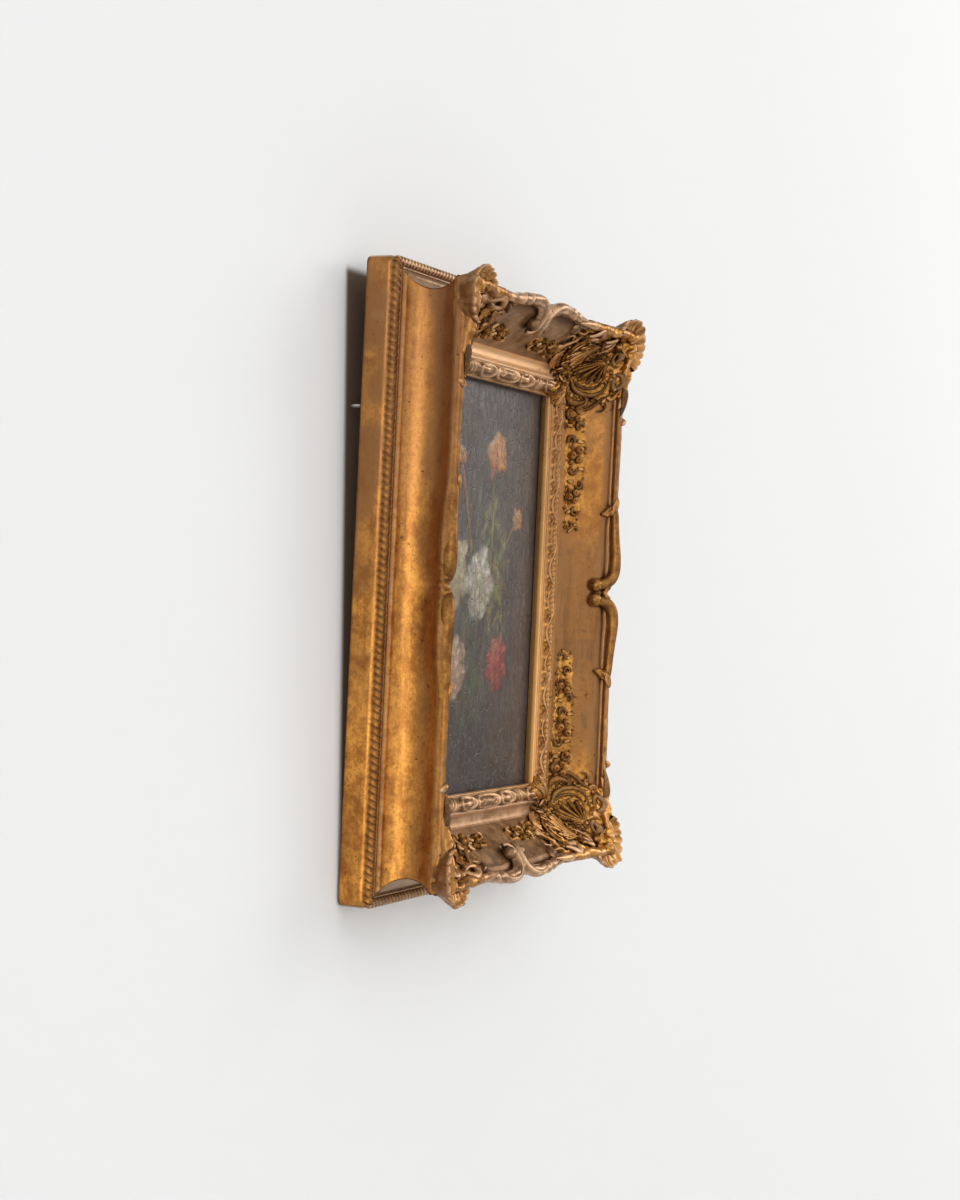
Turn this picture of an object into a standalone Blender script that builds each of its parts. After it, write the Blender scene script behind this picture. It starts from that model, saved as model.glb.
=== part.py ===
"""A small swept gilt frame holding an oil painting on board.

Units are metres, +Z up. The painting faces -Y and +X is to the viewer's right.
The origin is on the back of the top rail, half-way along it.

Every rail shares one cross-section, drawn as (inset, depth) pairs: inset runs
inwards from the outer edge and depth runs forwards from the back plane.
"""
import math

import bmesh
import bpy
from mathutils import Vector

MM = 0.001
OBJECT_NAME = "framed_oil_painting"

# Driving dimensions
FRAME_WIDTH = 300 * MM
FRAME_HEIGHT = 400 * MM
MOUNT_INSET = 22 * MM         # origin below the top edge
MITRE_GAP = 0.15 * MM         # trimmed off each mitred end
BACK_WIDTH = 44 * MM          # flat back of each rail
REBATE_INSET = 57.2 * MM
REBATE_BACK = 6 * MM
SIGHT_INSET = 63.4 * MM
SIGHT_BACK = 19.2 * MM        # depth of the ledge that the painting lies against
LEDGE_GAP = 0.3 * MM
EDGE_GAP = 0.5 * MM
BOARD_THICKNESS = 4 * MM
CREST_LEVEL = (11 * MM, 63.5 * MM, 7 * MM)   # inset, depth and width at the corners
CORNER_REACH = 62 * MM        # the crest is level from here to the mitre
WORN_CORNER = 1.6 * MM        # rubbed off the outer corner at the mitre
WORN_LENGTH = 4.5 * MM

# Corner cartouches
BED_GAP = 0.4 * MM
ALONG_STEPS = 24

# Screw eyes
EYE_INSET = 9 * MM
EYE_DROP = 92 * MM
EYE_RING = 4.1 * MM
EYE_WIRE = 0.85 * MM
EYE_STANDOFF = 6.05 * MM
EYE_SHANK_DEPTH = 11 * MM
PILOT_CLEARANCE = 0.3 * MM


def material(name, colour, roughness, metallic):
    """Return a Principled material."""
    result = bpy.data.materials.new(name)
    result.use_nodes = True
    shader = result.node_tree.nodes["Principled BSDF"]
    shader.inputs["Base Color"].default_value = (*colour, 1.0)
    shader.inputs["Roughness"].default_value = roughness
    shader.inputs["Metallic"].default_value = metallic
    return result


def smooth_path(knots, where):
    """Ease between knots, each (distance, value, value, ...), at one distance."""
    if where <= knots[0][0]:
        return knots[0][1:]
    for low, high in zip(knots, knots[1:]):
        if where <= high[0]:
            t = (where - low[0]) / (high[0] - low[0])
            t = t * t * (3 - 2 * t)
            return tuple(a + (b - a) * t for a, b in zip(low[1:], high[1:]))
    return knots[-1][1:]


def bezier(start, handle_a, handle_b, end, steps):
    """Points along a cubic curve, both ends included."""
    points = []
    for k in range(steps + 1):
        t = k / steps
        weights = ((1 - t) ** 3, 3 * t * (1 - t) ** 2, 3 * t * t * (1 - t), t ** 3)
        pairs = (start, handle_a, handle_b, end)
        points.append(tuple(sum(w * p[i] for w, p in zip(weights, pairs)) for i in (0, 1)))
    return points


# The crest, from the middle of a rail outwards: distance, inset, depth, width.
# Two C-scrolls meet in ball ends at the middle and finish in a leaf at 53 mm.
CREST_KNOTS = [
    (0 * MM, 16 * MM, 57.5 * MM, 5 * MM),
    (6 * MM, 14.5 * MM, 60.5 * MM, 8.5 * MM),
    (12 * MM, 11 * MM, 62.3 * MM, 6.5 * MM),
    (24 * MM, 7.6 * MM, 64.4 * MM, 7.4 * MM),
    (46 * MM, 10.8 * MM, 62.6 * MM, 6.5 * MM),
    (53 * MM, 12 * MM, 63.6 * MM, 8.8 * MM),
    (60 * MM, 11.6 * MM, 62 * MM, 6.5 * MM),
    (67 * MM, 12.6 * MM, 61.2 * MM, 5 * MM),
]


def crest_at(distance, half_length):
    """Inset, depth and width of the crest at a distance from the rail's middle."""
    level = (half_length - CORNER_REACH, *CREST_LEVEL)
    return smooth_path(CREST_KNOTS + [level], distance)


def section(inset, depth, width):
    """The rail's closed cross-section as (inset, depth) points, in metres."""
    side_and_rope = [
        (0, 0), (0, 18.5), (0.2, 20.6), (0.9, 22.1), (2.3, 22.7), (3.7, 22.1), (4.4, 20.8), (5.2, 21.4), (9, 21.5),
    ]
    points = [(u * MM, d * MM) for u, d in side_and_rope]
    points += bezier((9.4 * MM, 22.6 * MM), (17.8 * MM, 26.5 * MM), (22.4 * MM, 43 * MM), (12.8 * MM, 55 * MM), 6)
    points += [
        (inset, depth - 2.5 * MM),
        (inset + 0.3 * width, depth),
        (inset + 0.72 * width, depth - 0.5 * MM),
        (inset + width, depth - 3 * MM),
    ]
    foot = (max(20 * MM, inset + width + 1.2 * MM), 55.5 * MM)
    points += bezier(foot, (26.5 * MM, 46.5 * MM), (34 * MM, 35.5 * MM), (41.6 * MM, 28.6 * MM), 3)
    step_and_leaf = [
        (42.8, 27.2), (49.6, 27.4), (51, 29.3), (52.6, 28.9), (54.2, 31), (57.4, 32.2), (60.4, 30), (62.4, 25.4),
    ]
    points += [(u * MM, d * MM) for u, d in step_and_leaf]
    points += [
        (SIGHT_INSET, SIGHT_BACK),
        (REBATE_INSET, SIGHT_BACK),
        (REBATE_INSET, REBATE_BACK),
        (BACK_WIDTH + 4 * MM, REBATE_BACK),
        (BACK_WIDTH, 0),
    ]
    return points


def stations(half_length):
    """Distances from the rail's middle at which the section is drawn; the last is the mitre."""
    near = [0, 2.5, 4.5, 6.5, 8.5, 12, 20, 30, 40, 47, 50, 53, 57, 62, 68]
    return [d * MM for d in near if d * MM < half_length - SIGHT_INSET]


def add_mesh_object(name, bm, collection, surface):
    """Wrap a bmesh in an object with its own material."""
    bmesh.ops.recalc_face_normals(bm, faces=bm.faces[:])
    mesh = bpy.data.meshes.new(name)
    bm.to_mesh(mesh)
    bm.free()
    mesh.materials.append(surface)
    mesh.shade_smooth()
    mesh.set_sharp_from_angle(angle=math.radians(40))
    obj = bpy.data.objects.new(name, mesh)
    collection.objects.link(obj)
    return obj


def rail(name, side, collection, surface):
    """One mitred rail. side is the unit vector (x, z) that points outwards from the painting."""
    half_length = (FRAME_WIDTH if side[1] else FRAME_HEIGHT) / 2
    half_across = (FRAME_HEIGHT if side[1] else FRAME_WIDTH) / 2
    along = (side[1], -side[0])
    rings = []
    inner = stations(half_length)
    for sign in (-1, 1):
        ends = [(d, None) for d in inner]
        if half_length - CORNER_REACH > inner[-1]:
            ends.append((half_length - SIGHT_INSET - 2 * WORN_LENGTH, None))
        ends += [(half_length - WORN_LENGTH, WORN_LENGTH), (half_length, MITRE_GAP)]
        for distance, mitre_offset in ends:
            if sign > 0 and distance == 0:
                continue
            ring = []
            for u, d in section(*crest_at(distance, half_length)):
                if mitre_offset == MITRE_GAP:
                    u += WORN_CORNER * max(0, 1 - u / WORN_LENGTH)
                reach = distance if mitre_offset is None else half_length - u - mitre_offset
                out = half_across - u
                x = side[0] * out + along[0] * sign * reach
                z = side[1] * out + along[1] * sign * reach
                ring.append((x, -d, z))
            rings.append((sign * distance, ring))
    rings.sort(key=lambda item: item[0])
    bm = bmesh.new()
    lift = Vector((0, 0, MOUNT_INSET - FRAME_HEIGHT / 2))
    grid = [[bm.verts.new(Vector(p) + lift) for p in ring] for _, ring in rings]
    count = len(grid[0])
    for near, far in zip(grid, grid[1:]):
        for k in range(count):
            m = (k + 1) % count
            bm.faces.new((near[k], near[m], far[m], far[k]))
    caps = [bm.faces.new(grid[0]), bm.faces.new(grid[-1])]
    bmesh.ops.triangulate(bm, faces=caps, ngon_method="EAR_CLIP")
    return add_mesh_object(name, bm, collection, surface)


def with_normals(points):
    """Each point of a polyline with its outward unit normal and its share of the length so far."""
    lengths = [0.0]
    for a, b in zip(points, points[1:]):
        lengths.append(lengths[-1] + math.dist(a, b))
    framed = []
    for k, point in enumerate(points):
        before, after = points[max(k - 1, 0)], points[min(k + 1, len(points) - 1)]
        du, dd = after[0] - before[0], after[1] - before[1]
        size = math.hypot(du, dd)
        framed.append((*point, -dd / size, du / size, lengths[k] / lengths[-1]))
    return framed


def corner_bed():
    """The line the cartouche lies on, from the crest's outer lip to the leaf moulding."""
    inset, depth, width = CREST_LEVEL
    line = [
        (inset - 0.2 * MM, depth - 2.6 * MM),
        (inset + 0.1 * width, depth - 0.6 * MM),
        (inset + 0.3 * width, depth + 0.3 * MM),
        (inset + 0.74 * width, depth),
        (inset + width + 1.2 * MM, depth - 3.2 * MM),
    ]
    line += bezier((21.6 * MM, 55.6 * MM), (28 * MM, 47.4 * MM), (35.6 * MM, 36.6 * MM), (43 * MM, 30 * MM), 6)
    line += [(47 * MM, 29.6 * MM), (51 * MM, 30 * MM), (54 * MM, 31.8 * MM), (57.6 * MM, 32.8 * MM), (60.4 * MM, 30.6 * MM)]
    return with_normals(line)


def bump(offset, width):
    """A smooth hump of height one."""
    return math.exp(-(offset / width) ** 2)


def corner_reach(across):
    """How far the cartouche runs from the mitre; across goes from 0 at the crest to 1 at the sight."""
    return (9 + 38 * (1 - across) ** 0.8 + 4.5 * abs(math.sin(3.5 * math.pi * across))) * MM


def corner_relief(across, along):
    """Thickness of the cartouche; along goes from -1 to 1 through the mitre."""
    edge = 1 - abs(along) ** 6
    fan_angle = math.atan2(along * 1.5, 0.48 - across)
    fan = bump(across - 0.04, 0.24) * bump(along, 0.55)
    flutes = 0.86 + 0.14 * math.cos(9 * fan_angle)
    arm = abs(along)
    scroll = bump(across - 0.2 - 0.5 * (arm - 0.6) ** 2, 0.07) * bump(arm - 0.62, 0.3)
    dish_radius = math.hypot((across - 0.52) / 0.17, (arm - 0.42) / 0.24)
    rim = bump(dish_radius - 1, 0.28)
    berry = bump(dish_radius, 0.3)
    boss = bump(across - 0.52, 0.12) * bump(along, 0.13)
    pendant = bump(across - 0.82, 0.14) * bump(along, 0.25) * (0.8 + 0.2 * math.cos(5 * math.pi * along))
    return (1.1 + edge * (8.6 * fan * flutes + 3 * scroll + 2.6 * rim + 2.2 * berry + 4.2 * boss + 2.6 * pendant)) * MM


def corner(name, side_x, side_z, collection, surface):
    """A cartouche over one mitre: a relief with a flat-laid underside, 0.4 mm off the rails."""
    bed = corner_bed()
    bm = bmesh.new()
    layers = []
    for raised in (False, True):
        grid = []
        for u, d, normal_u, normal_d, across in bed:
            row = []
            for j in range(ALONG_STEPS + 1):
                along = 2 * j / ALONG_STEPS - 1
                lift = BED_GAP + (corner_relief(across, along) if raised else 0)
                inset, depth = u + normal_u * lift, d + normal_d * lift
                slide = along * corner_reach(across)
                x = FRAME_WIDTH / 2 - inset - max(slide, 0)
                z = FRAME_HEIGHT / 2 - inset - max(-slide, 0)
                row.append(bm.verts.new((side_x * x, -depth, side_z * z + MOUNT_INSET - FRAME_HEIGHT / 2)))
            grid.append(row)
        layers.append(grid)
    for grid in layers:
        for i in range(len(bed) - 1):
            for j in range(ALONG_STEPS):
                bm.faces.new((grid[i][j], grid[i + 1][j], grid[i + 1][j + 1], grid[i][j + 1]))
    low, high = ([grid[0] + [row[-1] for row in grid[1:]] + grid[-1][-2::-1] + [row[0] for row in grid[-2:0:-1]]
                  for grid in layers])
    for k in range(len(low)):
        m = (k + 1) % len(low)
        bm.faces.new((low[k], low[m], high[m], high[k]))
    return add_mesh_object(name, bm, collection, surface)


def painting(collection, surface):
    """The painted board, lying in the rebate behind the sight edge."""
    bm = bmesh.new()
    bmesh.ops.create_cube(bm, size=1)
    margin = REBATE_INSET + EDGE_GAP
    size = Vector((FRAME_WIDTH - 2 * margin, BOARD_THICKNESS, FRAME_HEIGHT - 2 * margin))
    centre = Vector((0, -(SIGHT_BACK - LEDGE_GAP - BOARD_THICKNESS / 2), MOUNT_INSET - FRAME_HEIGHT / 2))
    bmesh.ops.scale(bm, vec=size, verts=bm.verts)
    bmesh.ops.translate(bm, vec=centre, verts=bm.verts)
    return add_mesh_object("painting", bm, collection, surface)


def eye_place(side_x):
    """Centre of a screw eye's ring."""
    return Vector((side_x * (FRAME_WIDTH / 2 - EYE_INSET), EYE_STANDOFF, MOUNT_INSET - EYE_DROP))


def rod_along_y(name, radius, front, back, place, collection, sides):
    """A cylinder along Y between two y values."""
    bpy.ops.mesh.primitive_cylinder_add(
        vertices=sides, radius=radius, depth=back - front,
        location=(place.x, (front + back) / 2, place.z), rotation=(math.pi / 2, 0, 0))
    obj = bpy.context.object
    obj.name = obj.data.name = name
    for old in obj.users_collection:
        old.objects.unlink(obj)
    collection.objects.link(obj)
    return obj


def hide_cutter(obj):
    """Mark an object as construction only."""
    obj.hide_render = True
    obj.display_type = "WIRE"


def boolean(target, tool, operation):
    """Add an exact Boolean modifier."""
    cut = target.modifiers.new(tool.name, "BOOLEAN")
    cut.operation = operation
    cut.object = tool


def screw_eye(name, side_x, rail_obj, collection, cutters, surface):
    """A ring on a shank, with its pilot hole cut in the rail."""
    place = eye_place(side_x)
    bpy.ops.mesh.primitive_torus_add(
        major_radius=EYE_RING, minor_radius=EYE_WIRE, major_segments=18, minor_segments=7, location=place)
    ring = bpy.context.object
    ring.name = ring.data.name = name
    for old in ring.users_collection:
        old.objects.unlink(ring)
    collection.objects.link(ring)
    ring.data.materials.append(surface)
    shank = rod_along_y(name + "_shank", EYE_WIRE * 1.1, -EYE_SHANK_DEPTH, EYE_STANDOFF - EYE_RING, place, cutters, 9)
    hide_cutter(shank)
    boolean(ring, shank, "UNION")
    pilot = rod_along_y(name + "_pilot", EYE_WIRE * 1.1 + PILOT_CLEARANCE, -EYE_SHANK_DEPTH - LEDGE_GAP, 2 * MM,
                        place, cutters, 9)
    hide_cutter(pilot)
    boolean(rail_obj, pilot, "DIFFERENCE")


def build():
    for obj in list(bpy.data.objects):
        bpy.data.objects.remove(obj, do_unlink=True)
    parts = bpy.data.collections.new(OBJECT_NAME)
    cutters = bpy.data.collections.new("cutters")
    bpy.context.scene.collection.children.link(parts)
    bpy.context.scene.collection.children.link(cutters)

    rails = {}
    for name, side in (("top", (0, 1)), ("bottom", (0, -1)), ("left", (-1, 0)), ("right", (1, 0))):
        gilt = material("gilt_rail_" + name, (0.50, 0.31, 0.12), 0.42, 0.55)
        rails[name] = rail("rail_" + name, side, parts, gilt)
    for row, side_z in (("top", 1), ("bottom", -1)):
        for column, side_x in (("left", -1), ("right", 1)):
            gilt = material(f"gilt_corner_{row}_{column}", (0.46, 0.30, 0.14), 0.45, 0.5)
            corner(f"corner_{row}_{column}", side_x, side_z, parts, gilt)
    painting(parts, material("oil_paint", (0.085, 0.080, 0.078), 0.35, 0.0))
    for column, side_x in (("left", -1), ("right", 1)):
        steel = material("steel_eye_" + column, (0.55, 0.54, 0.52), 0.35, 1.0)
        screw_eye("screw_eye_" + column, side_x, rails[column], parts, cutters, steel)


build()
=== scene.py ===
"""Looks of a small flower painting in a deep swept gilt frame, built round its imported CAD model.

Lengths inside this script are millimetres in the frame's own section coordinates: s runs along a rail
from its middle, u runs inwards from the outer edge, d runs forwards from the back plane. On applied
ornament y runs along a rail from its end, t down the section over the surface, and h off the surface.
"""
import math

import bpy
import numpy as np
from mathutils import Matrix, Vector


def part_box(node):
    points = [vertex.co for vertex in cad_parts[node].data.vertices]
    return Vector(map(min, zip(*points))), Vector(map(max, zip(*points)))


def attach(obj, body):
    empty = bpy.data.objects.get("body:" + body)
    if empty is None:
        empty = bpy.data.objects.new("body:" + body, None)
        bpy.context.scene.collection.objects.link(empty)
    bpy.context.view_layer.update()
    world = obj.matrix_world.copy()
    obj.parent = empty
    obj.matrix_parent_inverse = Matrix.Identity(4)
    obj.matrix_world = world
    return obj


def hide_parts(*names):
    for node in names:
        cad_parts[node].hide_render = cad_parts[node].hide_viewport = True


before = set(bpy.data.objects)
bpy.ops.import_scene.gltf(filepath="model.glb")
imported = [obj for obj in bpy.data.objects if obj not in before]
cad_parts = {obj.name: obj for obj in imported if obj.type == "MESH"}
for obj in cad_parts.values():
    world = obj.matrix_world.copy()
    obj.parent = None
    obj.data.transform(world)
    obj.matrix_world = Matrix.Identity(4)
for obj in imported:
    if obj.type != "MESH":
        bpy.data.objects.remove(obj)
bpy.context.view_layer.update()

MM = 0.001
LEFT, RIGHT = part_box("rail_left")[0].x / MM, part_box("rail_right")[1].x / MM
TOP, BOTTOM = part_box("rail_top")[1].z / MM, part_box("rail_bottom")[0].z / MM
WIDTH, HEIGHT, MIDDLE_Z = RIGHT - LEFT, TOP - BOTTOM, (TOP + BOTTOM) / 2
SIGHT_BACK = -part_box("painting")[0].y / MM + 0.3
MITRE_GAP = 0.12
SIDES = {"left": (-1, 0), "right": (1, 0), "top": (0, 1), "bottom": (0, -1)}
UPRIGHTS = ("left", "right")
HALF = {side: (HEIGHT if side in UPRIGHTS else WIDTH) / 2 for side in SIDES}


# ---------------- numbers
def ease(xs, ys, x):
    """Smooth steps between knots."""
    x = np.asarray(x, float)
    k = np.clip(np.searchsorted(xs, x) - 1, 0, len(xs) - 2)
    xs, ys = np.asarray(xs, float), np.asarray(ys, float)
    t = np.clip((x - xs[k]) / (xs[k + 1] - xs[k]), 0, 1)
    return ys[k] + (ys[k + 1] - ys[k]) * t * t * (3 - 2 * t)


def step(low, high, x):
    t = np.clip((np.asarray(x, float) - low) / (high - low), 0, 1)
    return t * t * (3 - 2 * t)


def bump(x, width):
    return np.exp(-(np.asarray(x, float) / width) ** 2)


def noise(x, y, scale, seed):
    """Smooth value noise from -1 to 1 with features of about scale."""
    table = np.random.default_rng(seed).random((64, 64)) * 2 - 1
    x, y = np.asarray(x, float) / scale, np.asarray(y, float) / scale
    i, j = np.floor(x).astype(int), np.floor(y).astype(int)
    p, q = x - i, y - j
    p, q = p * p * (3 - 2 * p), q * q * (3 - 2 * q)
    a, b = table[i % 64, j % 64], table[(i + 1) % 64, j % 64]
    c, e = table[i % 64, (j + 1) % 64], table[(i + 1) % 64, (j + 1) % 64]
    return (a * (1 - p) + b * p) * (1 - q) + (c * (1 - p) + e * p) * q


def run_length(points):
    """Length along a line of points, from 0 at its first."""
    return np.concatenate([[0], np.cumsum(np.linalg.norm(np.diff(points, axis=0), axis=1))])


def smooth_line(knots, count):
    """A Catmull-Rom curve through knots, evenly spaced by length."""
    k = np.asarray(knots, float)
    k = np.vstack([2 * k[0] - k[1], k, 2 * k[-1] - k[-2]])
    t = np.linspace(0, 1, 24, endpoint=False)[:, None]
    fine = []
    for p0, p1, p2, p3 in zip(k, k[1:], k[2:], k[3:]):
        fine.append(0.5 * (2 * p1 + (p2 - p0) * t + (2 * p0 - 5 * p1 + 4 * p2 - p3) * t ** 2
                           + (3 * p1 - p0 - 3 * p2 + p3) * t ** 3))
    fine = np.vstack(fine + [k[-2:-1]])
    length = run_length(fine[:, :3])
    where = np.linspace(0, length[-1], count)
    return np.stack([np.interp(where, length, column) for column in fine.T], 1)


# ---------------- places
def place(side, s, u, d):
    """Section coordinates of one rail to metres."""
    ox, oz = SIDES[side]
    s, u, d = np.broadcast_arrays(s, u, d)
    if ox:
        return np.stack([ox * (WIDTH / 2 - u), -d, s + MIDDLE_Z], -1) * MM
    return np.stack([s, -d, oz * (HEIGHT / 2 - u) + MIDDLE_Z], -1) * MM


def crest(distance, half):
    """Inset, depth and radius of the bead along the crest."""
    at = [0, 4, 9, 14, 24, 36, 48, 60, 68, half - 70, half - 50]
    u = ease(at, [17, 15.6, 13.4, 12, 11.2, 11.8, 13, 14.4, 15, 15, 14.6], distance)
    d = ease(at, [55.4, 56.8, 58.4, 59.3, 59.8, 59.4, 59, 59.2, 59.3, 59.7, 60.4], distance)
    r = ease(at, [2.4, 2.9, 3.4, 3.7, 3.9, 3.7, 3.3, 2.9, 2.6, 2.7, 3.2], distance)
    return u, d, r


def curve(a, b, c, e, steps):
    """Points on a cubic Bezier curve."""
    out = []
    for k in np.linspace(0, 1, steps + 1):
        w = ((1 - k) ** 3, 3 * k * (1 - k) ** 2, 3 * k * k * (1 - k), k ** 3)
        out.append(tuple(sum(wi * p[i] for wi, p in zip(w, (a, b, c, e))) for i in (0, 1)))
    return out


ROPE_TURN = np.linspace(-0.75, 2.75, 15)


def profile(uc, dc, rc):
    """Closed section at each station of a rail, as (stations, points, 2), and the zones' slices."""
    rows, zones = [], {}

    def run(name, points):
        zones[name] = slice(len(rows), len(rows) + len(points))
        rows.extend(points)

    run("side", [(0.8, 0), (0.2, 0.35), (0, 1.2), (0, 3), (0, 5.8), (0, 8.6), (0, 11.4), (0, 14.2),
                 (0.25, 15.9)])
    run("rope", [(3.3 - 3.1 * math.cos(a), 19.2 + 3.1 * math.sin(a)) for a in ROPE_TURN])
    run("fillet", [(6.5, 20.6), (6.9, 21.6), (7.4, 21.7), (7.8, 21), (8.6, 20.9), (9.6, 21.6), (10.1, 23.2)])
    run("cove", curve((10.6, 23.3), (18.9, 26.8), (23.3, 43), (uc - 0.98 * rc, dc - 1.15 * rc), 16))
    run("crest", [(uc + rc * math.cos(a), dc + rc * math.sin(a)) for a in np.linspace(3.75, -0.6, 12)])
    run("groove", [(uc + 1.02 * rc, dc - 1.3 * rc)])
    run("field", curve((uc + 1.35 * rc, dc - 1.25 * rc), (26.5, 46.5), (34, 35.5), (41.4, 28.9), 12))
    run("step", [(41.9, 28.3), (42.2, 27.6), (43, 27.1), (45, 26.8), (47.4, 26.8), (49.2, 27.3), (50, 28.2),
                 (50.7, 29.1), (51.5, 29.4), (52.3, 29), (52.8, 28.5)])
    run("leaf", curve((53, 28.9), (54.4, 34.4), (60.8, 33.4), (62.3, 26), 25))
    run("lip", [(62.6, 26.2), (63.2, 25.9), (63.55, 25.2), (63.5, 23.4), (63.4, 22.4), (62.6, 22.2),
                (62.4, SIGHT_BACK)])
    run("back", [(57.2, SIGHT_BACK), (57.2, 6), (48, 6), (46, 3), (44, 0), (22, 0), (11, 0)])
    grid = np.zeros((len(uc), len(rows), 2))
    for k, (u, d) in enumerate(rows):
        grid[:, k, 0], grid[:, k, 1] = u, d
    return grid, zones


def ring_normals(grid):
    """Outward normals of each section, in its own plane."""
    along = np.roll(grid, -1, 1) - np.roll(grid, 1, 1)
    normal = np.stack([-along[..., 1], along[..., 0]], -1)
    return normal / np.maximum(np.linalg.norm(normal, axis=-1, keepdims=True), 1e-9)


def smooth_bed():
    """The section that ornament lies on, from the cove's neck to the sight lip: u, d and normal by t."""
    ring, zones = profile(np.array([15.0]), np.array([59.4]), np.array([2.7]))
    part = slice(zones["cove"].stop - 4, zones["lip"].start + 3)
    points, normals = ring[0, part], ring_normals(ring)[0, part]
    at = run_length(points)
    t = np.arange(0, at[-1], 0.35)
    rows = np.stack([np.interp(t, at, column) for column in (*points.T, *normals.T)], 1)
    for _ in range(14):
        rows[1:-1] = (rows[:-2] + 2 * rows[1:-1] + rows[2:]) / 4
    rows[:, 2:] /= np.linalg.norm(rows[:, 2:], axis=1, keepdims=True)
    return t, rows


BED_T, BED = smooth_bed()
BED_END = BED_T[-1]
CREST_T = BED_T[np.argmax(BED[:, 1])]


def bed(t):
    return [np.interp(t, BED_T, column) for column in BED.T]


def bed_t(u):
    """Length along the bed at an inset, on the inner side of the crest."""
    inner = BED_T > CREST_T
    return np.interp(u, BED[inner, 0], BED_T[inner])


def on_bed(side, end, y, t, h):
    """Points on a rail's bed: y from the end of the rail, t down the section, h off the surface."""
    u, d, nu, nd = bed(t)
    return place(side, end * (HALF[side] - y), u + nu * h, d + nd * h)


def on_corner(side, end, sigma, t, h, lift=0.0):
    """The same near a mitre: sigma runs along the rail from the mitre line, lift is straight forwards."""
    u, d, nu, nd = bed(t)
    y = u + sigma + nu * h * bump(sigma, 5)
    return place(side, end * (HALF[side] - y), u + nu * h, d + nd * h + lift)


def turned(side, end):
    """Whether ornament on this half of a rail is a mirror image, so that its faces need turning."""
    return (end < 0) == (side in ("left", "bottom"))


# ---------------- meshes
class Heap:
    """Collects grids of points into one mesh."""

    def __init__(self):
        self.points, self.faces, self.rub, self.stain, self.count = [], [], [], [], 0

    def grid(self, points, around=False, flip=False, rub=0.0, stain=0.0):
        n, m = points.shape[:2]
        index = np.arange(n * m).reshape(n, m) + self.count
        if around:
            index = np.hstack([index, index[:, :1]])
        quads = np.stack([index[:-1, :-1], index[1:, :-1], index[1:, 1:], index[:-1, 1:]], -1).reshape(-1, 4)
        self.faces.extend((quads[:, ::-1] if flip else quads).tolist())
        self.points.append(points.reshape(-1, 3))
        self.rub.append(np.broadcast_to(rub, (n, m)).reshape(-1))
        self.stain.append(np.broadcast_to(stain, (n, m)).reshape(-1))
        self.count += n * m
        return index

    def rod(self, points, flip, rub=0.0, stain=0.0, sunk_ends=True):
        """A grid that goes around, capped at both ends; sunk ends face inwards, which softens them."""
        index = self.grid(points, True, flip, rub, stain)
        first_flip = flip != sunk_ends
        for row, back in ((index[0, :-1], first_flip), (index[-1, :-1], not first_flip)):
            self.faces.append((row[::-1] if back else row).tolist())

    def mesh(self, name, material):
        data = bpy.data.meshes.new(name)
        data.from_pydata(np.vstack(self.points).tolist(), [], self.faces)
        data.materials.append(material)
        for layer, values in (("rub", self.rub), ("stain", self.stain)):
            attribute = data.attributes.new(layer, "FLOAT", "POINT")
            attribute.data.foreach_set("value", np.concatenate(values).astype(np.float32))
        data.shade_smooth()
        obj = bpy.data.objects.new(name, data)
        bpy.context.scene.collection.objects.link(obj)
        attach(obj, "root")
        return obj


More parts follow.
